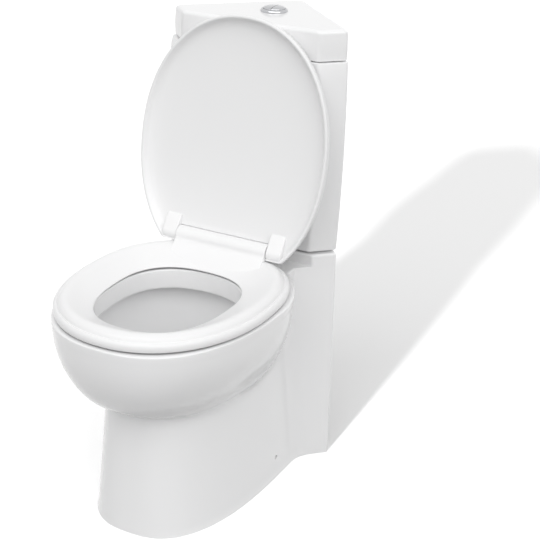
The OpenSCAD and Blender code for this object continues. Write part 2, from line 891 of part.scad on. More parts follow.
module overflow_tube() {
    tube_top = cistern_floor + overflow_height;
    color(plastic_blue)
        translate([0, valve_y, 0])
            difference() {
                union() {
                    translate([0, 0, seat_level + 4])
                        cylinder(h = 7, r = seal_r);
                    translate([0, 0, seat_level + 10])
                        cylinder(h = tube_top - seat_level - 10, r = overflow_d / 2);
                    translate([0, 0, tube_top - 3])
                        cylinder(h = hook_level - tube_top + 4, r = 2.5);
                    translate([-6, -10, hook_level])
                        cube([12, 12.5, 3]);
                }
                translate([0, 0, seat_level + 3])
                    cylinder(h = tube_top - 3 - seat_level - 3, r = overflow_d / 2 - 2.5);
                for (a = [0, 90])
                    rotate([0, 0, a])
                        translate([-20, -5, tube_top - 22])
                            cube([40, 10, 14]);
            }
}

module flush_seal() {
    color(rubber)
        translate([0, valve_y, seat_level])
            tube(4, seal_r, overflow_d / 2 - 2.5);
}

module reserve_float() {
    float_low = cage_top + 24;
    color(plastic_white)
        translate([0, valve_y, 0])
            difference() {
                union() {
                    translate([0, 0, float_low])
                        cylinder(h = 46, r = 28);
                    translate([0, reserve_y, float_low + 40])
                        cylinder(h = hook_level - float_low - 39, r = 2);
                    translate([-6, 3.6, hook_level])
                        cube([12, reserve_y - 1.6, 3]);
                }
                translate([0, 0, float_low - 1])
                    cylinder(h = 60, r = overflow_d / 2 + 0.6);
            }
}

// ---------- fill valve ----------

fill_head = cistern_floor + fill_height;
riser_r = 9;
cap_thick = 5;
arm_level = fill_head + 40;
arm_pivot_x = 8;
float_rod_x = 3 - float_d / 2;

module at_fill(z) {
    translate([-fill_x, fill_y, z])
        children();
}

module fill_valve_body() {
    color(plastic_white)
        at_fill(0)
            difference() {
                union() {
                    translate([0, 0, cistern_base - 45])
                        cylinder(h = 31, r = inlet_d / 2);
                    translate([0, 0, cistern_base - 15])
                        cylinder(h = 16 + china_wall + washer_thick, r = shank_r);
                    translate([0, 0, flange_level])
                        cylinder(h = 5, r = 16);
                    translate([0, 0, flange_level + 4])
                        cylinder(h = fill_head - flange_level - 3, r = riser_r);
                    translate([0, 0, fill_head])
                        cylinder(h = 20, r = 15);
                }
                translate([0, 0, cistern_base - 46])
                    cylinder(h = fill_head - cistern_base + 60, r = inlet_d / 2 - 3);
            }
}

module fill_valve_washer() {
    color(rubber)
        at_fill(cistern_floor)
            tube(washer_thick, 15.5, shank_r + 0.3);
}

module fill_valve_nut() {
    color(plastic_white)
        at_fill(cistern_base - 9)
            difference() {
                cylinder(h = 9, r = 16.5, $fn = 6);
                translate([0, 0, -1])
                    cylinder(h = 11, r = shank_r + bore_clear);
            }
}

module inlet_strainer() {
    color(plastic_blue)
        at_fill(cistern_base - 44)
            difference() {
                cylinder(h = 26, r = inlet_d / 2 - 3 - bore_clear);
                translate([0, 0, 3])
                    cylinder(h = 30, r = inlet_d / 2 - 4.5);
                for (a = [0:60:120], z = [6, 13])
                    rotate([0, 0, a])
                        translate([-10, -1, z])
                            cube([20, 2, 5]);
            }
}

module fill_valve_cap() {
    color(plastic_grey)
        at_fill(fill_head + 20)
            difference() {
                union() {
                    cylinder(h = cap_thick, r = 15);
                    for (y = [-6, 6])
                        translate([arm_pivot_x - 4, y - 1.5, cap_thick - 1])
                            cube([8, 3, arm_level - fill_head - 20 - cap_thick + 5]);
                }
                translate([arm_pivot_x, 20, arm_level - fill_head - 20])
                    rotate([90, 0, 0])
                        cylinder(h = 40, r = 1.5 + bore_clear);
            }
}

module float_cup() {
    float_low = fill_head - 70 - float_travel;
    color(plastic_blue)
        at_fill(float_low)
            difference() {
                union() {
                    cylinder(h = 52, r = float_d / 2);
                    translate([float_rod_x, 0, 48])
                        cylinder(h = arm_level - float_low - 48 + 4, r = 2);
                    translate([float_rod_x, 0, arm_level - float_low + 2.8])
                        cylinder(h = 2.4, r = 4);
                    translate([float_rod_x, 0, 48])
                        cylinder(h = 6, r = 4);
                }
                translate([0, 0, -1])
                    cylinder(h = 60, r = riser_r + 0.6);
                translate([0, 0, 44])
                    tube(20, float_d / 2 - 6, riser_r + 3);
            }
}

module float_arm() {
    slot_out = 7;   // the slot reaches out so that the rod stays free as the arm turns
    color(plastic_grey)
        at_fill(0)
            difference() {
                union() {
                    translate([arm_pivot_x, 4.2, arm_level])
                        rotate([90, 0, 0])
                            cylinder(h = 8.4, r = 3.6);
                    translate([float_rod_x - slot_out - 3, -4, arm_level - 2])
                        cube([arm_pivot_x - float_rod_x + slot_out + 3, 8, 4]);
                }
                translate([float_rod_x - slot_out, -2.6, arm_level - 5])
                    cube([slot_out + 3.5, 5.2, 10]);
                translate([arm_pivot_x, 20, arm_level])
                    rotate([90, 0, 0])
                        cylinder(h = 40, r = 1.5 + bore_clear);
            }
}

module float_arm_pin() {
    color(steel)
        at_fill(arm_level)
            translate([arm_pivot_x, 8, 0])
                rotate([90, 0, 0])
                    cylinder(h = 16, r = 1.5);
}

// ---------- seat ----------

seat_base = rim_height + seat_gap;
seat_half = seat_width / 2;
seat_wide_y = hinge_y - 174.5;
seat_back_y = hinge_y + 12;
seat_stations = 15;
hole_front_y = hinge_y - 327.5;
hole_back_y = hole_front_y + hole_length;
hole_wide_y = hole_front_y + hole_length * 0.589;
bar_r = hinge_bar_d / 2;
bar_half = hinge_bar_width / 2;
post_x0 = seat_fixing_spacing / 2 - 7.5;
post_x1 = seat_fixing_spacing / 2 + 7.5;
fixing_y = hinge_y + 24;
bush_r = 7.5;

seat_back_reach = 210;    // reach of the seat's oval behind its widest part
lid_back_reach = 236;     // and of the lid's, both cut short by the hinge

// angle a runs from the front of an oval (0) round its right side to the back (180)
function oval_point(a, half, front, back, wide_y, p_front, p_back) =
    let (s = sin(a), c = cos(a), p = c > 0 ? p_front : p_back)
    [sign(s) * half * pow(abs(s), 2 / p), wide_y - sign(c) * pow(abs(c), 2 / p) * (c > 0 ? front : back)];

function seat_edge(a) =
    let (q = oval_point(a, seat_half, seat_wide_y - (hinge_y - seat_reach), seat_back_reach, seat_wide_y,
                        2.1, 2.5))
    [q[0], min(q[1], seat_back_y)];

function hole_edge(a) =
    oval_point(a, hole_width / 2, hole_wide_y - hole_front_y, hole_back_y - hole_wide_y, hole_wide_y,
               2.5, 2.4);

// seat's section: share of the ring's width from the outer edge, share of the thickness
seat_profile = [[0.035, 0], [0.006, 0.12], [0, 0.28], [0.012, 0.43], [0.04, 0.54], [0.105, 0.6],
                [0.13, 0.71], [0.17, 0.85], [0.22, 0.95], [0.29, 1], [0.38, 0.94], [0.5, 0.78],
                [0.66, 0.57], [0.84, 0.35], [1, 0.1], [0.975, 0], [0.93, 0.02], [0.8, 0.2],
                [0.5, 0.56], [0.26, 0.7], [0.12, 0.42], [0.08, 0.02]];

function seat_section(a) =
    let (o = seat_edge(a), i = hole_edge(a))
    [for (q = seat_profile) let (p = o + (i - o) * q[0]) [p[0], p[1], seat_base + seat_thickness * q[1]]];

// slope from the front of the hinge bar down to the hole, from the hinge's axis
bar_ramp = [[-11, -1.5], [-15.3, -4], [-20, -8], [-30, -15], [-42, -23.5], [-50, -30], [-50, -34],
            [0, -34], [0, -1.5]];

module along_hinge(x0, x1, section) {
    translate([x0, hinge_y, hinge_height])
        rotate([90, 0, 90])
            linear_extrude(x1 - x0)
                polygon(section);
}

module seat() {
    slot_r = 11;
    post_gap = 2;
    color(seat_white)
        difference() {
            union() {
                ring_skin([for (k = [0:4 * seat_stations - 1])
                    seat_section(360 * (k + 0.5) / (4 * seat_stations))]);
                x_rod(-bar_half, bar_half, bar_r);
                along_hinge(-bar_half, bar_half, bar_ramp);
                buffer_places(boss_low)
                    cylinder(h = boss_high - boss_low, r = 8.5);
            }
            buffer_places(boss_low - 1)
                cylinder(h = 11, r = 3 + bore_clear);
            both_sides()
                x_rod(bar_half, bar_half + lug_width + 20, trough_r);
            both_sides()
                x_rod(post_x1 - 1, bar_half + 1, pin_d / 2 + bore_clear);
            both_sides() {
                x_rod(damper_in - fit, damper_in + 8, damper_nose_r + fit);
                x_rod(damper_in + 8 - fit, post_x0, damper_r + fit);
                x_rod(post_x0 - post_gap, post_x1 + post_gap, slot_r);
                translate([post_x0 - post_gap, hinge_y, hinge_height - 60])
                    cube([post_x1 - post_x0 + 2 * post_gap, 40, 60 + 11.5]);
                translate([post_x0 - post_gap, hinge_y - 10, hinge_height - 60])
                    cube([post_x1 - post_x0 + 2 * post_gap, 20, 60]);
            }
        }
}

boss_low = seat_base + 2;
boss_high = seat_base + seat_thickness * 0.66;

module buffer_places(z) {
    both_sides()
        for (a = [40, 118]) {
            p = seat_edge(a) * 0.58 + hole_edge(a) * 0.42;
            translate([p[0], p[1], z])
                children();
        }
}

module seat_buffers() {
    disc = boss_low - rim_height - 2 * fit;
    color(rubber)
        buffer_places(rim_height + fit)
            union() {
                cylinder(h = disc, r = 8);
                cylinder(h = disc + 10, r = 3);
            }
}

// ---------- lid, drawn closed and then swung open ----------

lid_rim_level = seat_base + seat_thickness + 1.5;
lug_r = 13.5;
trough_r = 17.3;    // room for the lid's rear edge as it turns
// web from a lug up to the lid's inner face, from the hinge's axis
lug_ear = [[-3, -12], [-38, -0.5], [-38, 5], [2, 5], [2, -12]];
lid_half = lid_width / 2;
lid_wide_y = hinge_y - 172;

function lid_edge(a, inset) =
    let (q = oval_point(a, lid_half - inset, lid_wide_y - (hinge_y - lid_reach) - inset,
                        lid_back_reach - inset, lid_wide_y, 2.12, 2.15))
    [q[0], min(q[1], hinge_y + 12 - inset * 0.4)];

function lid_ring(inset, rise) =
    [for (k = [0:4 * seat_stations - 1]) let (q = lid_edge(360 * (k + 0.5) / (4 * seat_stations), inset))
        [q[0], q[1], lid_rim_level + rise]];

module lid_shell_shape() {
    skin([lid_ring(95, lid_rise - 3), lid_ring(50, lid_rise - 3.6), lid_ring(24, lid_rise - 6),
          lid_ring(12, lid_rise - 11), lid_ring(7, lid_rise - 17), lid_ring(4.5, 0.4),
          lid_ring(3, 0), lid_ring(1, 0.5), lid_ring(0, 3), lid_ring(0.2, 9),
          lid_ring(2, lid_rise - 6), lid_ring(6, lid_rise - 2.2), lid_ring(14, lid_rise),
          lid_ring(45, lid_rise + 2), lid_ring(95, lid_rise + 2.8)]);
}

module closed_lid() {
    difference() {
        union() {
            difference() {
                lid_shell_shape();
                x_rod(-bar_half - 0.6, bar_half + 0.6, bar_r + 0.8);
                translate([-bar_half - 0.6, hinge_y, lid_rim_level - 5])
                    cube([2 * bar_half + 1.2, 60, 60]);
            }
            both_sides() {
                x_rod(bar_half + 1, bar_half + 1 + lug_width, lug_r);
                along_hinge(bar_half + 1, bar_half + 1 + lug_width, lug_ear);
            }
        }
        both_sides()
            x_rod(bar_half - 1, pin_end + 1, pin_d / 2 + bore_clear);
    }
}

module toilet_lid() {
    color(seat_white)
        translate([0, hinge_y, hinge_height])
            rotate([-lid_angle, 0, 0])
                translate([0, -hinge_y, -hinge_height])
                    closed_lid();
}

// ---------- hinge ----------

pin_end = bar_half + lug_width - 3;
damper_in = 24;
damper_r = 9;
damper_nose_r = 5;

module hinge_posts() {
    plate = 3.2;
    w = post_x1 - post_x0;
    color(plastic_white)
        both_sides()
            difference() {
                union() {
                    translate([post_x0, hinge_y - 8, rim_height])
                        cube([w, 16, hinge_height - rim_height]);
                    x_rod(post_x0, post_x1, 8);
                    translate([post_x0 - 1, hinge_y - 10, rim_height])
                        cube([w + 2, fixing_y - hinge_y + 10, plate]);
                    translate([seat_fixing_spacing / 2, fixing_y, rim_height])
                        cylinder(h = plate, r = w / 2 + 5);
                }
                x_rod(post_x0 - 1, post_x1 + 1, pin_d / 2 + 0.02);
                translate([seat_fixing_spacing / 2, fixing_y, rim_height - 1])
                    cylinder(h = 10, r = 3.2);
            }
}

module hinge_pins() {
    color(steel)
        both_sides()
            x_rod(post_x0 + 1, pin_end, pin_d / 2);
}

module hinge_screws() {
    color(steel)
        both_sides()
            translate([seat_fixing_spacing / 2, fixing_y, rim_height + 3.2])
                difference() {
                    union() {
                        cylinder(h = 4, r = 6.5);
                        translate([0, 0, -42])
                            cylinder(h = 42 + eps, r = 3);
                    }
                    translate([0, 0, 3.4])
                        cube([8, 1.4, 3], center = true);
                }
}

module hinge_bushes() {
    color(rubber)
        both_sides()
            translate([seat_fixing_spacing / 2, fixing_y, rim_height - 42])
                tube(42 - fit, bush_r - bore_clear, 3 + bore_clear);
}

module damper(side) {
    color(plastic_grey)
        mirror([side > 0 ? 0 : 1, 0, 0])
            union() {
                x_rod(damper_in + 8, post_x0 - 0.2, damper_r);
                x_rod(damper_in, damper_in + 8 + eps, damper_nose_r);
            }
}

module seat_damper() {
    damper(1);
}

module lid_damper() {
    damper(-1);
}

// ---------- assembly ----------

pan();
cistern();
cistern_lid();
coupling_gasket();
coupling_bolts();
coupling_rubber_washers();
coupling_plate_washers();
coupling_wing_nuts();
cistern_pads();
button_bezel();
button_nut();
full_flush_button();
half_flush_button();
full_push_rod();
half_push_rod();
full_button_spring();
half_button_spring();
flush_valve_body();
flush_valve_washer();
flush_valve_nut();
valve_bridge();
bridge_screws();
full_flush_lever();
half_flush_lever();
lever_pins();
overflow_tube();
flush_seal();
reserve_float();
fill_valve_body();
fill_valve_washer();
fill_valve_nut();
inlet_strainer();
fill_valve_cap();
float_cup();
float_arm();
float_arm_pin();
seat();
seat_buffers();
toilet_lid();
hinge_posts();
hinge_pins();
hinge_screws();
hinge_bushes();
seat_damper();
lid_damper();
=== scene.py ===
"""Corner toilet: looks, camera and light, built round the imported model.

Sizes in the classes are millimetres in the model's own frame. Meshes are written in metres.
"""

import json
import logging
import math
from dataclasses import dataclass, field
from enum import Enum
from typing import Callable, Sequence, TypeVar

import bmesh
import bpy
from mathutils import Matrix, Vector

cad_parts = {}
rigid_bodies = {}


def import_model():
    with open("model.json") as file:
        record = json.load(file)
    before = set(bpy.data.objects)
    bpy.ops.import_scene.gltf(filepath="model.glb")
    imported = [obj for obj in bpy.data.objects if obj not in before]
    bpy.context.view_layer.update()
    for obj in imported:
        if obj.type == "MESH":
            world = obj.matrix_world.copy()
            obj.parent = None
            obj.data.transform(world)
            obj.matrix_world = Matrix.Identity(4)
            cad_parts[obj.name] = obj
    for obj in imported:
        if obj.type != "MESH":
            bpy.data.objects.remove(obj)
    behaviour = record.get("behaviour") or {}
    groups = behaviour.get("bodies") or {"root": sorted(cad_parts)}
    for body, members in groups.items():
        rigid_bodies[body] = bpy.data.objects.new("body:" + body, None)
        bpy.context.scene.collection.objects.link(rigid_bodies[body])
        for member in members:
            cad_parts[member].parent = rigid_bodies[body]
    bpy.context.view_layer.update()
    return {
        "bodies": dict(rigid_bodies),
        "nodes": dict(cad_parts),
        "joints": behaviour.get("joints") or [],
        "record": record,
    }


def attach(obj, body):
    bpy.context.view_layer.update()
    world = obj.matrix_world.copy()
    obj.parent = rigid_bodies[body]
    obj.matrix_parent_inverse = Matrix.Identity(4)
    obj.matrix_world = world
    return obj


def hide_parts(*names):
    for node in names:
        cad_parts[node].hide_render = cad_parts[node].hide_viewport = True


MM = 0.001
ON_AXIS = 0.01  # a point nearer to x = 0 than this has no mirror image
PIN_BORE = 5.05  # radius of the bores for the hinge pins
log = logging.getLogger("corner_toilet")

Solid = bmesh.types.BMesh
Ring = list[Vector]
Station = tuple[float, ...]
Pair = tuple[float, float]
Triple = tuple[float, float, float]
Point = TypeVar("Point", float, Vector)


class Body(str, Enum):
    """The moving bodies that the pieces ride on."""

    CHINA = "china_set"
    SEAT = "seat_ring"
    LID = "lid"
    FULL_BUTTON = "full_button"
    HALF_BUTTON = "half_button"


class Cut(str, Enum):
    """How one solid changes another."""

    AWAY = "DIFFERENCE"
    TOGETHER = "UNION"


# ---------------------------------------------------------------- curves and rings


@dataclass(frozen=True)
class Oval:
    """A plan oval whose front and back halves have their own reach and squareness."""

    half: float
    front: float
    back: float
    wide_y: float
    front_power: float
    back_power: float

    def at(self, angle: float, inset: float = 0.0) -> Vector:
        """Finds a point of the oval.

        Args:
            angle: degrees from the front, round the right side, to the back at 180.
            inset: distance that the oval is drawn in.

        Returns:
            The point, at height zero.
        """
        side, ahead = math.sin(math.radians(angle)), math.cos(math.radians(angle))
        power = self.front_power if ahead > 0 else self.back_power
        reach = (self.front if ahead > 0 else self.back) - inset
        across = math.copysign(abs(side) ** (2 / power), side) * (self.half - inset)
        along = math.copysign(abs(ahead) ** (2 / power), ahead) * reach
        return Vector((across, self.wide_y - along, 0.0))


def mirrored(half: Sequence[Vector]) -> Ring:
    """Closes a right-hand half outline, drawn from front to back, with its mirror image."""
    left = [Vector((-p.x, p.y, p.z)) for p in reversed(half) if p.x > ON_AXIS]
    return [Vector(p) for p in half] + left


def lifted(ring: Sequence[Vector], z: float) -> Ring:
    """Puts a copy of an outline at a height."""
    return [Vector((p.x, p.y, z)) for p in ring]


def spline(stations: Sequence[Station], steps: int) -> list[Station]:
    """Runs a smooth (Catmull-Rom) curve through stations of several numbers each.

    Args:
        stations: the numbers at each station.
        steps: points made for each gap between stations.

    Returns:
        The stations and the points between them.
    """
    out: list[Station] = []
    last = len(stations) - 1
    for i in range(last):
        near = stations[max(i - 1, 0)], stations[i], stations[i + 1], stations[min(i + 2, last)]
        for t in (k / steps for k in range(steps)):
            out.append(tuple(
                0.5 * (
                    2 * b + (c - a) * t + (2 * a - 5 * b + 4 * c - d) * t * t
                    + (3 * b - a - 3 * c + d) * t * t * t
                )
                for a, b, c, d in zip(*near)
            ))
    out.append(tuple(stations[last]))
    return out


def bent(start: Point, pull: Point, end: Point, t: float) -> Point:
    """Finds a point at a share of the way along a curve that is pulled towards a corner."""
    return start * (1 - t) ** 2 + pull * 2 * t * (1 - t) + end * t * t


def corner_arc(before: Vector, corner: Vector, after: Vector, radius: float, steps: int) -> Ring:
    """Rounds a corner of an outline.

    Args:
        before: a point on the line into the corner.
        corner: the sharp corner.
        after: a point on the line out of the corner.
        radius: the rounding.
        steps: number of pieces of the arc.

    Returns:
        Points of the arc, in order.
    """
    into, out = (before - corner).normalized(), (after - corner).normalized()
    half = into.angle(out) / 2
    centre = corner + (into + out).normalized() * radius / math.sin(half)
    start = corner + into * radius / math.tan(half) - centre
    end = corner + out * radius / math.tan(half) - centre
    return [centre + start.lerp(end, i / steps).normalized() * radius for i in range(steps + 1)]


def rounding(width: float, height: float, steps: int, base: bool = False) -> list[Pair]:
    """Lists the insets and rises of a quarter-round edge.

    Args:
        width: how far the edge is drawn in.
        height: how far it rises.
        steps: number of pieces.
        base: True for the bottom edge of a solid.

    Returns:
        Pairs of inset and rise, from the side to the top, or from the underside to the side.
    """
    turns = [math.pi / 2 * i / steps for i in range(steps + 1)]
    if base:
        return [(width * (1 - math.sin(a)), height * (1 - math.cos(a))) for a in turns]
    return [(width * (1 - math.cos(a)), height * math.sin(a)) for a in turns]


# ---------------------------------------------------------------- meshes


def as_mesh(name: str, bm: Solid) -> bpy.types.Mesh:
    """Writes a solid into mesh data.

    Args:
        name: name of the data.
        bm: the solid, which is used up.

    Returns:
        The mesh data.
    """
    mesh = bpy.data.meshes.new(name)
    bm.to_mesh(mesh)
    bm.free()
    return mesh


def placed(name: str, data: bpy.types.ID) -> bpy.types.Object:
    """Adds an object to the scene.

    Args:
        name: its name.
        data: its mesh, lamp or camera.

    Returns:
        The object.
    """
    thing = bpy.data.objects.new(name, data)
    bpy.context.collection.objects.link(thing)
    return thing


def loft(rings: Sequence[Ring], looped: bool = False) -> Solid:
    """Extrudes the first ring through all the others.

    Args:
        rings: outlines with the same number of points.
        looped: True joins the last ring to the first; False caps both ends.

    Returns:
        A closed mesh.
    """
    bm = bmesh.new()
    row = [bm.verts.new(p) for p in rings[0]]
    count = len(row)
    edges = [bm.edges.new((row[i], row[(i + 1) % count])) for i in range(count)]
    first = list(edges)
    if not looped:
        bmesh.ops.contextual_create(bm, geom=edges)
    for ring in rings[1:]:
        made = bmesh.ops.extrude_edge_only(bm, edges=edges)["geom"]
        place = {v: i for i, v in enumerate(row)}
        fresh: dict[int, bmesh.types.BMVert] = {}
        for vert in (g for g in made if isinstance(g, bmesh.types.BMVert)):
            for edge in vert.link_edges:
                other = edge.other_vert(vert)
                if other in place:
                    fresh[place[other]] = vert
        row = [fresh[i] for i in range(count)]
        for vert, point in zip(row, ring):
            vert.co = point
        members = set(row)
        edges = [
            g for g in made if isinstance(g, bmesh.types.BMEdge) and set(g.verts) <= members
        ]
    if looped:
        bmesh.ops.bridge_loops(bm, edges=first + edges)
    else:
        bmesh.ops.contextual_create(bm, geom=edges)
    bmesh.ops.recalc_face_normals(bm, faces=bm.faces[:])
    return bm


def bar(start: Sequence[float], end: Sequence[float], radius: float, sides: int = 48) -> Solid:
    """Makes a round bar between two points.

    Args:
        start: centre of one end.
        end: centre of the other end.
        radius: the bar's radius.
        sides: number of sides.

    Returns:
        The bar's mesh.
    """
    bm = bmesh.new()
    low, high = Vector(start), Vector(end)
    run = high - low
    turn = Vector((0, 0, 1)).rotation_difference(run).to_matrix().to_4x4()
    bmesh.ops.create_cone(
        bm, cap_ends=True, segments=sides, radius1=radius, radius2=radius, depth=run.length,
        matrix=Matrix.Translation((low + high) / 2) @ turn,
    )
    return bm


def upright(x: float, y: float, low: float, high: float, radius: float, sides: int = 48) -> Solid:
    """Makes an upright bar at a place in plan, between two heights."""
    return bar((x, y, low), (x, y, high), radius, sides)


def ball(centre: Vector, radius: float) -> Solid:
    """Makes a sphere.

    Args:
        centre: its centre.
        radius: its radius.

    Returns:
        The sphere's mesh.
    """
    bm = bmesh.new()
    bmesh.ops.create_uvsphere(
        bm, u_segments=40, v_segments=24, radius=radius, matrix=Matrix.Translation(centre)
    )
    return bm


def block(low: Triple, high: Triple) -> Solid:
    """Makes a box.

    Args:
        low: lowest corner.
        high: highest corner.

    Returns:
        The box's mesh.
    """
    bm = bmesh.new()
    bmesh.ops.create_cube(bm, size=1.0)
    bmesh.ops.scale(bm, vec=Vector(high) - Vector(low), verts=bm.verts[:])
    bmesh.ops.translate(bm, vec=(Vector(low) + Vector(high)) / 2, verts=bm.verts[:])
    return bm


def round_edges(
    bm: Solid, edges: Sequence[bmesh.types.BMEdge], radius: float, segments: int
) -> None:
    """Bevels edges into arcs.

    Args:
        bm: the mesh.
        edges: the edges to round.
        radius: size of the rounding.
        segments: number of pieces of each arc.
    """
    bmesh.ops.bevel(
        bm, geom=list(edges), offset=radius, segments=segments, profile=0.5,
        affect="EDGES", material=-1, clamp_overlap=True,
    )


def turned(profile: Sequence[Pair], centre: Vector) -> Solid:
    """Spins a profile of radius and height about an upright axis.

    Args:
        profile: pairs of radius and height; a radius of zero lies on the axis.
        centre: the axis, and the height that the profile counts from.

    Returns:
        The turned mesh.
    """
    bm = bmesh.new()
    verts = [bm.verts.new((r, 0.0, z)) for r, z in profile]
    edges = [bm.edges.new(pair) for pair in zip(verts, verts[1:])]
    bmesh.ops.spin(
        bm, geom=verts + edges, cent=(0, 0, 0), axis=(0, 0, 1), angle=math.tau, steps=96,
        use_merge=True, use_duplicate=False,
    )
    bmesh.ops.remove_doubles(bm, verts=bm.verts[:], dist=0.001)
    bmesh.ops.recalc_face_normals(bm, faces=bm.faces[:])
    bmesh.ops.translate(bm, vec=centre, verts=bm.verts[:])
    return bm


def pushed(section: Sequence[Pair], start: Vector, width: float, edge: float) -> Solid:
    """Extrudes a section of the hinge sideways.

    Args:
        section: points as places behind and above the start.
        start: where the extrusion starts.
        width: how far it runs to the right.
        edge: rounding of the edges of both ends.

    Returns:
        The solid.
    """
    bm = loft([[start + Vector((x, y, z)) for y, z in section] for x in (0.0, width)])
    ends = [e for e in bm.edges if abs(e.verts[0].co.x - e.verts[1].co.x) < 1e-6]
    round_edges(bm, ends, edge, 5)
    return bm


def joined(*parts: Solid) -> Solid:
    """Puts several meshes into one, without changing them.

    Args:
        parts: the meshes, which are used up.

    Returns:
        One mesh that holds them all.
    """
    whole = bmesh.new()
    for part in parts:
        mesh = as_mesh("part", part)
        whole.from_mesh(mesh)
        bpy.data.meshes.remove(mesh)
    return whole


def both_sides(part: Solid) -> Solid:
    """Adds the mirror image of a part in the plane x = 0.

    Args:
        part: the right-hand part, which is used up.

    Returns:
        Both parts in one mesh.
    """
    other = part.copy()
    bmesh.ops.scale(other, vec=(-1, 1, 1), verts=other.verts[:])
    bmesh.ops.reverse_faces(other, faces=other.faces[:])
    return joined(part, other)


def through_modifiers(bm: Solid, add: Callable[[bpy.types.Object], None]) -> Solid:
    """Passes a mesh through modifiers and takes the result back.

    Args:
        bm: the mesh, which is used up.
        add: puts the modifiers on an object that holds the mesh.

    Returns:
        The finished mesh.
    """
    mesh = as_mesh("work", bm)
    thing = placed("work", mesh)
    add(thing)
    result = bmesh.new()
    result.from_object(thing, bpy.context.evaluated_depsgraph_get())
    bpy.data.objects.remove(thing)
    bpy.data.meshes.remove(mesh)
    return result


def combined(bm: Solid, how: Cut, *tools: Solid) -> Solid:
    """Cuts tools away from a solid, or adds them, one after another.

    Args:
        bm: the solid, which is used up.
        how: whether the tools are cut away or added.
        tools: the other solids, which are used up.

    Returns:
        The new solid.
    """
    for tool in tools:
        mesh = as_mesh("tool", tool)
        helper = placed("tool", mesh)

        def add(thing: bpy.types.Object, other: bpy.types.Object = helper) -> None:
            """Puts the boolean on the solid."""
            step = thing.modifiers.new("cut", "BOOLEAN")
            step.object, step.operation, step.solver = other, how.value, "EXACT"

        bm = through_modifiers(bm, add)
        bpy.data.objects.remove(helper)
        bpy.data.meshes.remove(mesh)
    return bm


def melted(grain: float, *parts: Solid) -> Solid:
    """Merges overlapping solids into one skin with an even grain.

    Args:
        grain: edge length of the new skin.
        parts: the overlapping solids, which are used up.

    Returns:
        The single skin.
    """

    def add(thing: bpy.types.Object) -> None:
        """Puts the remesher on the solids."""
        step = thing.modifiers.new("melt", "REMESH")
        step.mode, step.voxel_size, step.adaptivity = "VOXEL", grain, 0.0

    return through_modifiers(joined(*parts), add)


def eased(bm: Solid, times: int, where: Callable[[Vector], bool] | None = None) -> None:
    """Smooths a skin, all over or in one zone.

    Args:
        bm: the skin, changed in place.
        times: how often it is smoothed.
        where: says whether a point is in the zone.
    """
    verts = [v for v in bm.verts if where is None or where(v.co)]
    for _ in range(times):
        bmesh.ops.smooth_vert(
            bm, verts=verts, factor=0.5, use_axis_x=True, use_axis_y=True, use_axis_z=True
        )


# ---------------------------------------------------------------- finishes


def wire(node: bpy.types.Node, values: dict[str | int, object]) -> None:
    """Sets or links inputs of a node.

    Args:
        node: the node.
        values: a plain value, or another node's output, for each input.
    """
    for name, value in values.items():
        if isinstance(value, bpy.types.NodeSocket):
            node.id_data.links.new(value, node.inputs[name])
        else:
            node.inputs[name].default_value = value


def add_node(
    tree: bpy.types.NodeTree, kind: str, values: dict[str | int, object], **settings: str
) -> bpy.types.Node:
    """Adds a node to a tree and wires it.

    Args:
        tree: the material's or world's node tree.
        kind: the node's type, without its common prefix.
        values: what goes into its inputs.
        settings: the node's own settings, which are made first.

    Returns:
        The node.
    """
    node = tree.nodes.new(f"ShaderNode{kind}")
    for name, value in settings.items():
        setattr(node, name, value)
    wire(node, values)
    return node


@dataclass(frozen=True)
class Finish:
    """A surface finish with its own colour drift, sheen and fine relief."""

    name: str
    colour: Triple
    second: Triple
    roughness: Pair
    metallic: float = 0.0
    coat: float = 0.0
    coat_roughness: float = 0.06
    drift_scale: float = 9.0
    relief_scale: float = 60.0
    relief: float = 0.05
    relief_depth: float = 0.0005
    stretch: Triple = (1.0, 1.0, 1.0)

    def material(self) -> bpy.types.Material:
        """Builds the node material, with its patterns on Object coordinates.

        Returns:
            The material, named after the finish.
        """
        made = bpy.data.materials.new(self.name)
        made.use_nodes = True
        tree = made.node_tree
        place = add_node(tree, "TexCoord", {}).outputs["Object"]
        fit = add_node(tree, "Mapping", {"Scale": self.stretch, "Vector": place}).outputs["Vector"]

        def noise(scale: float, detail: float) -> bpy.types.NodeSocket:
            """Adds one noise pattern of a given size and fineness."""
            values = {"Scale": scale, "Detail": detail, "Vector": fit}
            return add_node(tree, "TexNoise", values).outputs["Fac"]

        drift = noise(self.drift_scale, 3.0)
        ends = {"A": (*self.colour, 1.0), "B": (*self.second, 1.0), "Factor": drift}
        mix = add_node(tree, "Mix", ends, data_type="RGBA")
        sheen = add_node(tree, "MapRange", {
            "From Min": 0.3, "From Max": 0.7, "To Min": self.roughness[0],
            "To Max": self.roughness[1], "Value": noise(self.drift_scale * 2.3, 4.0),
        })
        bump = add_node(tree, "Bump", {
            "Strength": self.relief, "Distance": self.relief_depth,
            "Height": noise(self.relief_scale, 2.0),
        })
        wire(tree.nodes["Principled BSDF"], {
            "Metallic": self.metallic, "Coat Weight": self.coat,
            "Coat Roughness": self.coat_roughness, "Base Color": mix.outputs["Result"],
            "Roughness": sheen.outputs["Result"], "Normal": bump.outputs["Normal"],
        })
        return made


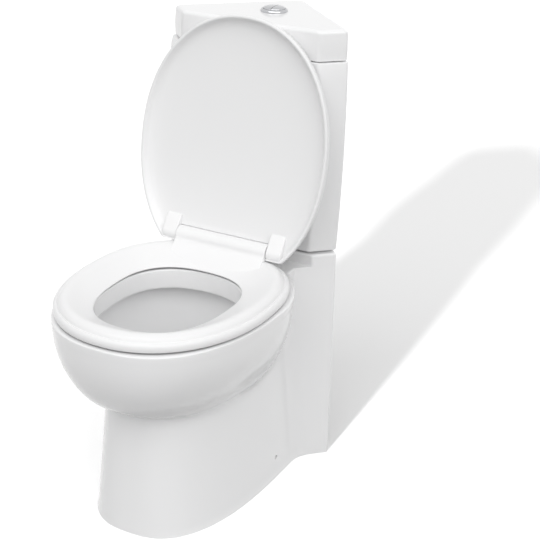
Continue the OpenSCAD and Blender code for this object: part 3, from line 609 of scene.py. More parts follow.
FINISHES: dict[str, Finish] = {
    "china": Finish(
        "white_glaze", (0.88, 0.88, 0.882), (0.865, 0.865, 0.87), (0.09, 0.15), coat=0.3,
        drift_scale=4.0, relief_scale=22.0, relief=0.12, relief_depth=0.0012,
    ),
    "seat_plastic": Finish(
        "seat_moulding", (0.86, 0.86, 0.862), (0.856, 0.856, 0.859), (0.3, 0.34), coat=0.08,
        drift_scale=6.0, relief_scale=90.0, relief=0.05, relief_depth=0.0004,
    ),
    "white_plastic": Finish(
        "white_moulding", (0.74, 0.74, 0.72), (0.68, 0.68, 0.66), (0.3, 0.45), relief=0.12
    ),
    "grey_plastic": Finish(
        "grey_moulding", (0.33, 0.35, 0.37), (0.28, 0.3, 0.32), (0.3, 0.45), relief=0.12
    ),
    "blue_plastic": Finish(
        "blue_moulding", (0.08, 0.19, 0.36), (0.06, 0.15, 0.3), (0.3, 0.42), relief=0.12
    ),
    "chrome": Finish(
        "polished_chrome", (0.58, 0.585, 0.6), (0.52, 0.525, 0.54), (0.08, 0.16), metallic=1.0,
        drift_scale=40.0, relief_scale=300.0, relief=0.03, relief_depth=0.0001,
    ),
    "steel": Finish(
        "plain_steel", (0.5, 0.5, 0.5), (0.42, 0.42, 0.42), (0.3, 0.42), metallic=1.0,
        relief_scale=240.0, relief=0.08, stretch=(1.0, 1.0, 6.0),
    ),
    "brass": Finish(
        "turned_brass", (0.6, 0.43, 0.16), (0.5, 0.35, 0.13), (0.3, 0.4), metallic=1.0,
        relief_scale=240.0, relief=0.08, stretch=(1.0, 1.0, 8.0),
    ),
    "rubber": Finish(
        "black_rubber", (0.03, 0.03, 0.03), (0.045, 0.045, 0.045), (0.65, 0.8), relief=0.2
    ),
    "foam": Finish(
        "closed_foam", (0.05, 0.05, 0.055), (0.075, 0.075, 0.08), (0.8, 0.92),
        relief_scale=420.0, relief=0.5,
    ),
}


class Workshop:
    """Turns meshes into finished pieces and keeps one material for each slot."""

    def __init__(self) -> None:
        """Builds every material once."""
        self.materials = {slot: finish.material() for slot, finish in FINISHES.items()}

    def piece(
        self, name: str, bm: Solid, body: Body, slot: str, node: str, sharp: float = 40.0
    ) -> None:
        """Makes a piece that stands for a CAD node.

        Args:
            name: the piece's name.
            bm: its mesh in millimetres, which is used up.
            body: the body that it rides on.
            slot: the material slot that it takes its finish from.
            node: the CAD node that it replaces.
            sharp: the angle in degrees above which an edge stays crisp.
        """
        bmesh.ops.scale(bm, vec=(MM, MM, MM), verts=bm.verts[:])
        mesh = as_mesh(name, bm)
        mesh.polygons.foreach_set("use_smooth", [True] * len(mesh.polygons))
        mesh.set_sharp_from_angle(angle=math.radians(sharp))
        mesh.materials.append(self.materials[slot])
        thing = placed(name, mesh)
        even = thing.modifiers.new("even_shading", "WEIGHTED_NORMAL")
        even.keep_sharp, even.weight = True, 50
        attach(thing, body.value)
        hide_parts(node)
        log.info("%s: %d faces, for %s", name, len(mesh.polygons), node)

    def dress(self, frame: dict) -> None:
        """Gives every CAD node the material of its slot.
        """
        slots = {s["node"]: s["material_slot"] for s in frame["record"]["subparts"]}
        for name, thing in frame["nodes"].items():
            made = self.materials[slots[name]]
            if not thing.material_slots:
                thing.data.materials.append(made)
            for socket in thing.material_slots:
                socket.material = made


# ---------------------------------------------------------------- places shared by the parts


@dataclass(frozen=True)
class Places:
    """Levels and places that several parts share."""

    corner_y: float = 346.5
    hinge_y: float = 59.0
    hinge_z: float = 430.5
    valve_y: float = 228.5
    cistern_half: float = 172.53
    platform_front: float = 135.79
    rim_z: float = 389.0
    platform_z: float = 410.0
    cistern_z: float = 414.0
    cistern_height: float = 350.0
    lid_gap: float = 1.5
    lid_height: float = 53.5
    bolt_x: float = 62.0
    inlet_x: float = -88.0
    front_round: float = 12.0
    side_round: float = 6.0
    back_round: float = 10.0

    @property
    def lid_under(self) -> float:
        """Height of the underside of the cistern's lid."""
        return self.cistern_z + self.cistern_height + self.lid_gap

    @property
    def lid_top(self) -> float:
        """Height of the top of the cistern's lid."""
        return self.lid_under + self.lid_height

    @property
    def bolt_y(self) -> float:
        """Place of the two coupling bolts."""
        return self.platform_front + 34

    @property
    def inlet_y(self) -> float:
        """Place of the water inlet."""
        return self.corner_y - 149

    def cistern_plan(self, bow: float, inset: float, z: float) -> Ring:
        """Draws the cut-corner plan of the cistern.

        Args:
            bow: how far the sides stand out.
            inset: how far the outline is drawn in.
            z: its height.

        Returns:
            The whole outline at that height.
        """
        drawn = inset * math.sqrt(2)
        half = self.cistern_half + bow / math.sqrt(2) - drawn
        back = self.corner_y - drawn
        front_y = self.platform_front - bow * 0.6 + inset
        top, side = Vector((0, back, 0)), Vector((half, back - half, 0))
        front = Vector((half - (side.y - front_y), front_y, 0))
        middle = Vector((0, front_y, 0))
        rear = corner_arc(side, top, Vector((-side.x, side.y, 0)), self.back_round, 12)
        outline = [Vector((0.5, front_y, 0))]
        outline += [middle.lerp(front, 0.1 + 0.12 * i) for i in range(6)]
        outline += corner_arc(middle, front, side, self.front_round, 10)
        outline += corner_arc(front, side, top, self.side_round, 8)
        outline += [p for p in rear if p.x > -ON_AXIS]
        return lifted(mirrored(outline), z)


@dataclass
class Part:
    """A part of the toilet, which knows the shared places."""

    at: Places = field(default_factory=Places)

    def build(self, shop: Workshop) -> None:
        """Builds the part's pieces and hands them over.

        Args:
            shop: dresses the pieces.
        """
        raise NotImplementedError


# ---------------------------------------------------------------- pan


@dataclass
class Pan(Part):
    """The one-piece china pan: bowl, foot and the body that carries the cistern."""

    bowl_half: float = 185.5
    bowl_base_half: float = 106.5
    bowl_front: float = 401.5
    bowl_base_front: float = 301.0
    bowl_drop: float = 154.0
    bowl_back: float = 204.0
    bowl_wide: float = 121.5
    bowl_power: float = 2.4
    spread: Pair = (2.36, 1.11)
    sweep: Pair = (2.35, 0.41)
    underside_fall: float = 0.16
    neck: float = 26.5
    neck_half: float = 60.0
    neck_power: float = 1.85
    foot_half: float = 139.0
    foot_front: float = 319.5
    foot_power: float = 2.65
    foot_lean: float = 0.078
    cove: float = 26.0
    body_flare: float = 8.0
    wall: float = 12.0
    mouth_half: float = 113.0
    mouth_wide: float = 0.57
    mouth_powers: Pair = (2.4, 2.3)
    channel: float = 28.0
    trap: tuple[Pair, ...] = ((-58, 138), (60, 226), (132, 180), (190, 180))
    trap_radius: float = 37.0
    casing_radius: float = 47.0
    outlet_z: float = 180.0
    outlet_radius: float = 51.0
    outlet_bore: float = 44.0
    well_radius: float = 62.0
    well_bore: float = 52.0
    flush_radius: float = 38.0
    flush_bore: float = 28.0
    duct_z: float = 361.0
    duct_radius: float = 21.0
    inlet_bore: float = 23.0
    bolt_bore: float = 6.0
    post_x: float = 77.5
    post_bore: float = 7.5
    fixing_bore: float = 4.5
    crease_fade: float = 1.2
    crease_round: float = 9.0
    crease_passes: int = 6
    rim_round: float = 8.0
    rim_rise: float = 3.0
    shell_y: float = -60.0
    front_points: int = 62

    @property
    def side_z(self) -> float:
        """Height at which the rim's rounding starts."""
        return self.at.rim_z - self.rim_rise

    @property
    def back_y(self) -> float:
        """Where the pan's slanted sides would meet, a little in front of the room's corner."""
        return self.at.corner_y - 2

    @property
    def outlet_y(self) -> float:
        """Where the outlet ends."""
        return self.at.corner_y - 65

    @property
    def foot_y(self) -> float:
        """Where the foot is widest."""
        return self.at.hinge_y - 14.5

    @property
    def trap_path(self) -> Ring:
        """Bends of the trap, from the bowl's sump to the outlet."""
        return [Vector((0, self.at.hinge_y + behind, z)) for behind, z in self.trap]

    def in_bowl(self, x: float, y: float, z: float) -> bool:
        """Says whether a place lies inside the bowl's outer shape.

        Args:
            x: distance from the middle.
            y: place along the pan.
            z: its height.

        Returns:
            True inside; below the underside the shape shrinks evenly, which rounds the crease.
        """
        at, wide_y = self.at, self.at.hinge_y - self.bowl_wide
        depth = self.bowl_drop + self.underside_fall * (y - (at.hinge_y - self.bowl_base_front))
        u = max(0.0, (self.side_z - z) / depth)
        below = max(0.0, u - 1) * depth * self.crease_fade
        spread = max(0.0, 1 - u ** self.spread[0]) ** self.spread[1]
        sweep = max(0.0, 1 - u ** self.sweep[0]) ** self.sweep[1]
        half = self.bowl_base_half + (self.bowl_half - self.bowl_base_half) * spread - below
        reach = self.bowl_base_front + (self.bowl_front - self.bowl_base_front) * sweep - below
        front = wide_y - (at.hinge_y - reach)
        if min(half, front) < 1:
            return False
        if y < wide_y:
            return (x / half) ** self.bowl_power + ((wide_y - y) / front) ** self.bowl_power < 1
        neck_y = at.hinge_y + self.neck  # from here the bowl's sides run straight back
        share = min((y - wide_y) / self.bowl_back, (neck_y - wide_y) / self.bowl_back)
        neck = half * max(0.0, 1 - share**self.neck_power) ** (1 / self.neck_power)
        return x < max(neck, self.neck_half - below) and y < at.platform_front + 6

    def bowl_radius(self, toward: Vector, z: float) -> float:
        """Measures the bowl from the middle of the shell at one height, by halving.

        Args:
            toward: direction in plan.
            z: the height.

        Returns:
            Distance to the bowl's outside, or zero where there is none.
        """
        near, far = 0.0, 420.0
        if not self.in_bowl(0.0, self.shell_y, z):
            return 0.0
        for _ in range(26):
            middle = (near + far) / 2
            x, y = abs(toward.x) * middle, self.shell_y + toward.y * middle
            near, far = (middle, far) if self.in_bowl(x, y, z) else (near, middle)
        return near

    def body_half(self, z: float) -> float:
        """Half width of the rear body at a height, on the line of the walls."""
        flare = self.body_flare * max(0.0, 1 - z / self.at.platform_z) ** 0.7
        return self.at.cistern_half + 2.5 + flare

    def foot_oval(self, inset: float, drawn: float) -> Oval:
        """Draws the foot in plan, with its sides and its front drawn in; its back isn't used."""
        reach = self.foot_y - (self.at.hinge_y - self.foot_front) - drawn
        return Oval(self.foot_half - inset, reach, 1.0, self.foot_y, self.foot_power, 2.0)

    def foot_ring(self, z: float) -> Ring:
        """Draws the right half of the foot, its cove and the rear body at one height.

        Args:
            z: the height.

        Returns:
            The half outline.
        """
        inset = self.foot_lean * z + (1.5 * min(1.0, z / 9.0) if z > 0 else 0.0)
        oval = self.foot_oval(inset, self.foot_lean * z)
        front = [oval.at(90 * i / 44) for i in range(45)]
        wide = self.body_half(z)
        side = Vector((wide, self.back_y - wide, 0))
        bend = Vector((oval.half, oval.half + side.y - side.x, 0))
        cove = min(self.cove, (bend.y - self.foot_y) * 0.5)
        a, b = bend - Vector((0, cove, 0)), bend + Vector((cove, cove, 0)) / math.sqrt(2)
        run = [front[-1].lerp(a, i / 5) for i in range(1, 5)]
        sweep = [bent(a, bend, b, i / 12) for i in range(13)]
        return lifted(front + run + sweep + self.rear(b, side, 0.0), 0.0)

    def shell_ring(self, z: float, rise: float = 0.0, inset: float = 0.0) -> Ring:
        """Draws the pan's outside at one height, with a soft crease under the bowl.

        Args:
            z: the height at which the shapes are measured.
            rise: how far above it the outline lies.
            inset: how far the bowl is drawn in.

        Returns:
            The whole outline.
        """
        middle, blend = Vector((0.0, self.shell_y, 0.0)), self.crease_round
        half = self.foot_ring(z)
        for i in range(self.front_points):
            run = half[i] - middle
            foot, bowl = run.length, self.bowl_radius(run.normalized(), z) - inset
            overlap = max(blend - abs(foot - bowl), 0.0) / blend
            half[i] = middle + run.normalized() * (max(foot, bowl) + overlap**2 * blend / 4)
        return lifted(mirrored(half), z + rise)

    def rear(self, before: Vector, side: Vector, inset: float) -> Ring:
        """Draws the rear body behind its slanted side.

        Args:
            before: the last point in front of the side corner.
            side: the sharp side corner.
            inset: how far the outline is drawn in.

        Returns:
            Points to the middle of the back.
        """
        cut = self.at.corner_y - 44 - inset
        edge = Vector((self.back_y - cut - inset * math.sqrt(2), cut, 0))
        bend = corner_arc(before, side, edge, 6.0, 8)
        run = [before.lerp(bend[0], i / 6) for i in range(1, 6)]
        back = [bend[-1].lerp(edge, i / 4) for i in range(1, 5)]
        return run + bend + back + [Vector((0, cut, 0))]

    def platform_ring(self, inset: float, z: float) -> Ring:
        """Draws the platform's outline.

        Args:
            inset: how far it is drawn in.
            z: its height.

        Returns:
            The outline at that height.
        """
        drawn = inset * math.sqrt(2)
        wide = self.body_half(z) - drawn
        side = Vector((wide, self.back_y - drawn - wide, 0))
        front_y = self.at.platform_front + inset
        front = Vector((wide - (side.y - front_y), front_y, 0))
        bend = corner_arc(Vector((0, front_y, 0)), front, side, 9.0, 10)
        flat = [Vector((bend[0].x * i / 8, front_y, 0)) for i in range(8)]
        return lifted(mirrored(flat + bend + self.rear(bend[-1], side, inset)), z)

    def shell(self) -> Solid:
        """Builds the whole outside: foot, bowl, rear body and platform.

        Returns:
            The closed solid.
        """
        at = self.at
        crease = self.side_z - self.bowl_drop
        levels = [0.0, 1.5, 4.0, 9.0, 18.0] + [18.0 + 12 * i for i in range(1, 15)]
        levels += [levels[-1] + (crease - 4 - levels[-1]) * i / 6 for i in range(1, 7)]
        levels += [crease - 4 + 1.0 * i for i in range(1, 21)]
        levels += [levels[-1] + 1.5 * i for i in range(1, 49)]
        levels += [levels[-1] + (self.side_z - levels[-1]) * i / 16 for i in range(1, 17)]
        rings = [self.shell_ring(z) for z in levels]
        for inset, rise in rounding(self.rim_round, self.rim_rise, 6)[1:]:
            rings.append(self.shell_ring(self.side_z, rise, inset))
        top, edge = at.platform_z, 4.0
        step = [self.platform_ring(0.0, z) for z in (at.rim_z, at.rim_z + 4, top - edge)]
        step += [self.platform_ring(i, top - edge + r) for i, r in rounding(edge, edge, 5)[1:]]
        body = loft(rings)
        eased(
            body, self.crease_passes,
            lambda p: p.y < at.hinge_y + 20 and crease - 30 < p.z < at.rim_z - 15,
        )
        return combined(body, Cut.TOGETHER, loft(step))

    def cavity(self) -> Solid:
        """Builds the inside of the bowl, with the channel under the rim.

        Returns:
            The closed solid that is cut away.
        """
        y, lip, rim_z = self.at.hinge_y, self.at.rim_z - 37, self.at.rim_z
        front, back, half = y - 331.5, y - 53.5, self.mouth_half

        def round_mouth(z: float, wider: float) -> Station:
            """Lists height, half width, front and back of an outline round the mouth."""
            return z, half + wider, front - wider, back + wider

        bowl: list[Station] = [
            (122, 30, y - 86, y - 24), (126, 38, y - 92, y - 18), (160, 44, y - 104, y - 14),
            (186, 52, y - 128, y - 18), (214, 70, y - 196, y - 36), (246, 94, y - 270, y - 38),
            (284, 120, y - 326, y - 34), round_mouth(lip - 36, 24),
            round_mouth(lip - 8, self.channel),
        ]
        rim = [
            round_mouth(z, wider)
            for z, wider in (
                (lip + 20, 26), (lip + 22, 9), (lip - 1, 8), (lip, 2), (lip + 4, 0),
                (rim_z - 4, 0), (rim_z - 1.2, 1), (rim_z + 1, 4),
            )
        ]
        rings: list[Ring] = []
        for z, wide, near, far in spline(bowl, 6) + rim:
            middle = near + (far - near) * self.mouth_wide
            oval = Oval(wide, middle - near, far - middle, middle, *self.mouth_powers)
            rings.append(lifted(mirrored([oval.at(180 * i / 60) for i in range(61)]), z))
        return loft(rings)

    def passages(self) -> Solid:
        """Builds the trap's bore, melted into one smooth passage.

        Returns:
            The closed solid that is cut away.
        """
        path, radius = self.trap_path, self.trap_radius
        parts = [bar(a, b, radius) for a, b in zip(path, path[1:])]
        whole = melted(4.0, *parts, *(ball(p, radius) for p in path[:3]))
        eased(whole, 4)
        return whole

    def hollows(self) -> Solid:
        """Builds the open back and the open underside of the foot.

        Returns:
            Two separate solids in one mesh.
        """
        at, wall, below = self.at, self.wall, -10
        front = at.platform_front + wall
        half = at.cistern_half + 2.5 - wall / math.sqrt(2) - 4
        side_y, behind = self.back_y - half, at.corner_y + 40
        plan = mirrored([
            Vector((x, y, 0)) for x, y in (
                (0.0, front), (half - side_y + front, front), (half, side_y),
                (half + 60, side_y + 60), (half + 60, behind), (0.0, behind),
            )
        ])
        rear = loft([lifted(plan, below), lifted(plan, at.platform_z - 14)])
        oval = self.foot_oval(wall + 1, wall + 1)
        foot = [oval.at(90 * i / 24) for i in range(25)]
        foot += [Vector((oval.half, front - wall, 0)), Vector((0.0, front - wall, 0))]
        plan = mirrored(foot)
        narrower = [Vector((p.x * 0.97, p.y, 0)) for p in plan]
        return joined(rear, loft([lifted(plan, below), lifted(narrower, 98)]))

    def casings(self) -> Solid:
        """Builds the trap's outside, the outlet and the well under the cistern.

        Returns:
            One melted solid that is added behind the foot, with the outlet's pipe.
        """
        at, path, radius, end_y = self.at, self.trap_path, self.casing_radius, self.outlet_y
        duct = (0, at.platform_front, self.duct_z), (0, at.valve_y, self.duct_z)
        whole = melted(
            4.5,
            bar(path[1].lerp(path[0], 0.02), path[2], radius), bar(path[2], path[3], radius),
            ball(path[2], radius),
            upright(0, at.valve_y, at.platform_z - 34, at.platform_z - 8, self.well_radius),
            upright(0, at.valve_y, 335, 383, self.flush_radius),
            bar(*duct, self.duct_radius),
        )
        eased(whole, 5)
        ends = (0, end_y - 64, self.outlet_z), (0, end_y, self.outlet_z)
        return joined(whole, bar(*ends, self.outlet_radius, 96))

    def build(self, shop: Workshop) -> None:
        """Builds the pan, with every hole cut through it.

        Args:
            shop: dresses what is built.
        """
        at, top, end_y, z = self.at, self.at.platform_z, self.outlet_y, self.outlet_z
        china = combined(self.shell(), Cut.AWAY, self.hollows())
        china = combined(china, Cut.TOGETHER, self.casings())
        china = combined(
            china, Cut.AWAY, self.cavity(), self.passages(),
            bar((0, end_y - 72, z), (0, end_y + 4, z), self.outlet_bore, 96),
            upright(0, at.valve_y, top - 24, top + 4, self.well_bore, 96),
            upright(0, at.valve_y, 345, top - 20, self.flush_bore, 64),
            upright(at.inlet_x, at.inlet_y, 380, 420, self.inlet_bore),
            both_sides(upright(at.bolt_x, at.bolt_y, 380, 420, self.bolt_bore)),
            both_sides(upright(self.post_x, at.hinge_y + 24, 345, 395, self.post_bore)),
            both_sides(self.fixing_hole()),
        )
        shop.piece("pan_china", china, Body.CHINA, "china", "pan", sharp=38.0)

    def fixing_hole(self) -> Solid:
        """Builds the hole in the foot's right side, with its countersunk mouth.

        Returns:
            The closed solid that is cut away.
        """
        y, z = self.at.hinge_y - 23, 38.0
        mouth = bmesh.new()
        bmesh.ops.create_cone(
            mouth, cap_ends=True, segments=32, radius1=3.5, radius2=8.5, depth=8.0,
            matrix=Matrix.Translation((137.0, y, z)) @ Matrix.Rotation(math.radians(90), 4, "Y"),
        )
        return melted(0.8, bar((109, y, z), (160, y, z), self.fixing_bore, 32), mouth)


# ---------------------------------------------------------------- cistern


@dataclass
class Cistern(Part):
    """The cistern's china body and its lid."""

    bow: float = 13.0
    widest: float = 0.62
    wall: float = 10.0
    floor: float = 12.0
    lid_bow: float = 1.0
    lid_edge: float = 7.5
    lid_lean: float = 0.3
    button_bore: float = 21.9
    valve_bore: float = 30.5
    bolt_bore: float = 5.5
    inlet_bore: float = 11.78

    def bow_at(self, t: float) -> float:
        """How far the sides stand out at a share of the height."""
        return self.bow * (1 - (abs(t - self.widest) / self.widest) ** 2)

    @property
    def top_bow(self) -> float:
        """How far the sides stand out at the top edge."""
        return self.bow_at(1.0) - 2.0

    def body(self) -> Solid:
        """Builds the cistern's body.

        Returns:
            The hollow china box.
        """
        at, low, high = self.at, self.at.cistern_z, self.at.cistern_height
        plan, wall, edge = at.cistern_plan, self.wall, 1.2
        floor = low + self.floor
        rings = [plan(self.bow_at(0.0), i, low + r) for i, r in rounding(3.0, 3.0, 5, True)]
        for t in (0.03 + 0.93 * i / 24 for i in range(25)):
            rings.append(plan(self.bow_at(t), 0, low + high * t))
        for inset, rise in rounding(edge, edge, 4):
            rings.append(plan(self.top_bow, inset, low + high - edge + rise))
        hollow = [plan(0, wall + i, floor + r) for i, r in rounding(8, 8, 4, True)]
        for t in (0.12 + 0.86 * i / 10 for i in range(11)):
            hollow.append(plan(self.bow_at(t), wall, low + high * t))
        hollow.append(plan(self.top_bow, wall, low + high + 2))
        holes = (
            (0.0, at.valve_y, self.valve_bore), (at.bolt_x, at.bolt_y, self.bolt_bore),
            (-at.bolt_x, at.bolt_y, self.bolt_bore), (at.inlet_x, at.inlet_y, self.inlet_bore),
        )
        tools = [upright(x, y, low - 3, floor + 3, radius) for x, y, radius in holes]
        return combined(loft(rings), Cut.AWAY, loft(hollow), *tools)

    def lid(self) -> Solid:
        """Builds the cistern's lid.

        Returns:
            The hollow china lid with its hole for the button.
        """
        at, bow, plan, lean = self.at, self.lid_bow, self.at.cistern_plan, self.lid_lean
        under, top, flange, edge = at.lid_under, at.lid_top, self.wall + 3, self.lid_edge
        rings = [
            plan(bow, inset, z)
            for inset, z in (
                (flange + 1, under - 11), (flange, under - 10), (flange, under),
                (1.0, under), (0.3, under + 0.3), (0.0, under + 1.0),
            )
        ]
        for t in (k / 7 for k in range(1, 7)):
            z = under + 1.0 + (at.lid_height - 1.0 - edge) * t
            rings.append(plan(bow + 4 * t * (1 - t), lean * t * t, z))
        for inset, rise in rounding(edge, edge, 8):
            rings.append(plan(bow, lean + inset, top - edge + rise))
        ceiling = top - self.wall
        hollow = [
            plan(bow, flange + inset, z)
            for inset, z in (
                (7, under - 14), (7, ceiling - 8), (10, ceiling - 3), (16, ceiling),
            )
        ]
        bore = upright(0, at.valve_y, ceiling - 3, top + 4, self.button_bore, 96)
        return combined(loft(rings), Cut.AWAY, loft(hollow), bore)

    def build(self, shop: Workshop) -> None:
        """Builds the cistern and its lid."""
        shop.piece("cistern_china", self.body(), Body.CHINA, "china", "cistern", sharp=35.0)
        shop.piece("cistern_lid_china", self.lid(), Body.CHINA, "china", "cistern_lid", sharp=35.0)


# ---------------------------------------------------------------- button


@dataclass
class FlushButton(Part):
    """The chrome bezel and the two halves of the button."""

    bezel_radius: float = 24.5
    bezel_height: float = 5.0
    radius: float = 19.5
    travel: float = 6.0
    split_x: float = 3.0
    gap: float = 0.8
    rod_x: float = 13.0
    rod_bore: float = 3.4

    def bezel(self) -> Solid:
        """Builds the bezel with its threaded sleeve.

        Returns:
            The turned ring.
        """
        r, h, well = self.bezel_radius, self.bezel_height, self.radius + 0.3
        sleeve, ledge = self.radius + 2, -self.travel - 0.5
        profile = [
            (well, ledge), (well, h - 0.9), (well + 0.5, h - 0.2), (well + 1.2, h), (r - 3.6, h),
            (r - 2.4, h - 0.35), (r - 1.2, h - 1.2), (r - 0.4, h - 2.4), (r - 0.05, h - 3.6),
            (r, 0.4), (r - 0.3, 0.05), (sleeve, 0.05), (sleeve, -30.0), (sleeve - 2, -30.0),
            (sleeve - 2, ledge - 4), (4.0, ledge - 4), (4.0, ledge), (well, ledge),
        ]
        y, z = self.at.valve_y, self.at.lid_top
        holes = [
            upright(x, y, z + ledge - 8, z + ledge + 3, self.rod_bore)
            for x in (-self.rod_x, self.rod_x)
        ]
        return combined(turned(profile, Vector((0, y, z))), Cut.AWAY, *holes)

    def half(self, side: int) -> Solid:
        """Builds one half of the button.

        Args:
            side: 1 for the half-flush side, -1 for the full-flush side.

        Returns:
            The domed half with eased edges.
        """
        r, base = self.radius, self.at.lid_top + 1.5
        dome = [
            (0.0, 0.0), (r - 0.6, 0.0), (r, 0.6), (r, 4.0), (r - 0.5, 5.1), (r - 1.8, 6.05),
            (r - 4, 6.8), (r - 7.5, 7.5), (r - 12, 7.9), (0.0, 8.0),
        ]
        bm = turned(dome, Vector((0, self.at.valve_y, base)))
        cut = Vector((self.split_x + side * self.gap / 2, self.at.valve_y, base))
        bmesh.ops.bisect_plane(
            bm, geom=bm.verts[:] + bm.edges[:] + bm.faces[:], plane_co=cut, plane_no=(side, 0, 0),
            clear_inner=True,
        )
        bmesh.ops.contextual_create(bm, geom=[e for e in bm.edges if e.is_boundary])
        bmesh.ops.recalc_face_normals(bm, faces=bm.faces[:])
        top = [
            e for e in bm.edges
            if all(abs(v.co.x - cut.x) < 1e-4 and v.co.z > base + 3.5 for v in e.verts)
        ]
        round_edges(bm, top, 0.4, 2)
        return bm

    def build(self, shop: Workshop) -> None:
        """Builds the three chrome pieces.

        Args:
            shop: dresses what is built.
        """
        shop.piece("bezel_ring", self.bezel(), Body.CHINA, "chrome", "button_bezel", sharp=50.0)
        for name, side, body in (
            ("full_flush", -1, Body.FULL_BUTTON), ("half_flush", 1, Body.HALF_BUTTON),
        ):
            shop.piece(f"{name}_cap", self.half(side), body, "chrome", f"{name}_button")


# ---------------------------------------------------------------- seat


@dataclass
class Seat(Part):
    """The seat ring and the hinge bar moulded to its back.

    The profile's points are shares of the ring's width and height. The ramp's are places behind
    and above the hinge line. Each bore is a room cut along the hinge line on both sides: its
    start, its end, its radius and its number of sides.
    """

    base: float = 392.5
    thickness: float = 25.5
    bar_radius: float = 15.5
    bar_half: float = 91.0
    back_reach: float = 12.0
    sections: int = 220
    boss_angles: Pair = (40, 118)
    boss_radius: float = 8.5
    outer: Oval = Oval(182.5, 225.0, 210.0, -115.5, 2.1, 2.5)
    hole: Oval = Oval(110.0, 159.03, 110.97, -109.47, 2.5, 2.4)
    profile: tuple[Pair, ...] = (
        (0.035, 0.0), (0.012, 0.05), (0.001, 0.16), (0.0, 0.3), (0.012, 0.43), (0.035, 0.53),
        (0.06, 0.585), (0.083, 0.598), (0.098, 0.583), (0.106, 0.575), (0.113, 0.6),
        (0.12, 0.665), (0.14, 0.77), (0.175, 0.87), (0.22, 0.95), (0.29, 1.0), (0.38, 0.95),
        (0.5, 0.8), (0.66, 0.585), (0.84, 0.355), (0.955, 0.2), (0.992, 0.13), (0.999, 0.07),
        (0.975, 0.0), (0.93, 0.02), (0.8, 0.2), (0.5, 0.56), (0.26, 0.7), (0.12, 0.42),
        (0.08, 0.02),
    )
    ramp: tuple[Pair, ...] = (
        (0.0, -34.0), (-53.0, -34.0), (-53.0, -32.4), (-50.0, -30.2), (-46.0, -27.0),
        (-42.0, -23.8), (-36.0, -19.4), (-30.0, -15.2), (-25.0, -11.6), (-21.5, -9.0),
    )
    ramp_knee: Pair = (-15.8, -4.4)
    bores: tuple[tuple[float, float, float, int], ...] = (
        (91.0, 140.0, 17.3, 96),  # the lid's lugs
        (84.0, 92.0, PIN_BORE, 32),  # the pins
        (23.7, 32.5, 5.3, 32),  # the dampers' shafts
        (31.7, 70.0, 9.3, 48),  # the dampers
        (68.0, 87.0, 11.0, 48),  # the heads of the posts
    )

    def section(self, angle: float) -> Ring:
        """Draws the seat's section at one place round the ring.

        Args:
            angle: degrees from the front.

        Returns:
            The closed section.
        """
        out, inn = self.outer.at(angle), self.hole.at(angle)
        out.y = min(out.y, self.at.hinge_y + self.back_reach)
        shares = spline([*self.profile, self.profile[0]], 3)[:-1]
        return [
            Vector((*(out + (inn - out) * s).xy, self.base + self.thickness * h)) for s, h in shares
        ]

    def build(self, shop: Workshop) -> None:
        """Builds the seat, with the rooms for its hinge cut out.

        Args:
            shop: dresses what is built.
        """
        y, z, count = self.at.hinge_y, self.at.hinge_z, self.sections
        ring = loft([self.section(360 * (k + 0.5) / count) for k in range(count)], looped=True)
        bosses = []
        for angle in self.boss_angles:
            spot = self.outer.at(angle).lerp(self.hole.at(angle), 0.42)
            low, high = self.base + 2, self.base + self.thickness * 0.66
            bosses.append(both_sides(upright(*spot.xy, low, high, self.boss_radius, 24)))
        plastic = combined(ring, Cut.TOGETHER, self.hinge_bar(), *bosses)
        rooms = [bar((a, y, z), (b, y, z), radius, sides) for a, b, radius, sides in self.bores]
        inner, outer = self.bores[-1][:2]
        rooms += [
            block((inner, y, z - 60), (outer, y + 40, z + 11.5)),
            block((inner, y - 10, z - 60), (outer, y + 10, z)),
        ]
        plastic = combined(plastic, Cut.AWAY, *(both_sides(room) for room in rooms))
        shop.piece("seat_moulding", plastic, Body.SEAT, "seat_plastic", "seat", sharp=42.0)

    def hinge_bar(self) -> Solid:
        """Builds the hinge bar and the slope from its front down to the hole.

        Returns:
            The solid, with eased ends.
        """
        r = self.bar_radius
        corners = self.ramp[-1], self.ramp_knee, (-r * 0.996, r * 0.09)
        slope = [tuple(bent(*places, i / 7) for places in zip(*corners)) for i in range(1, 8)]
        turns = (math.radians(85 - 265 * i / 56) for i in range(1, 57))
        back = [(-r * math.sin(a), r * math.cos(a)) for a in turns]
        start = Vector((-self.bar_half, self.at.hinge_y, self.at.hinge_z))
        return pushed([*self.ramp, *slope, *back], start, 2 * self.bar_half, 1.2)


# ---------------------------------------------------------------- lid


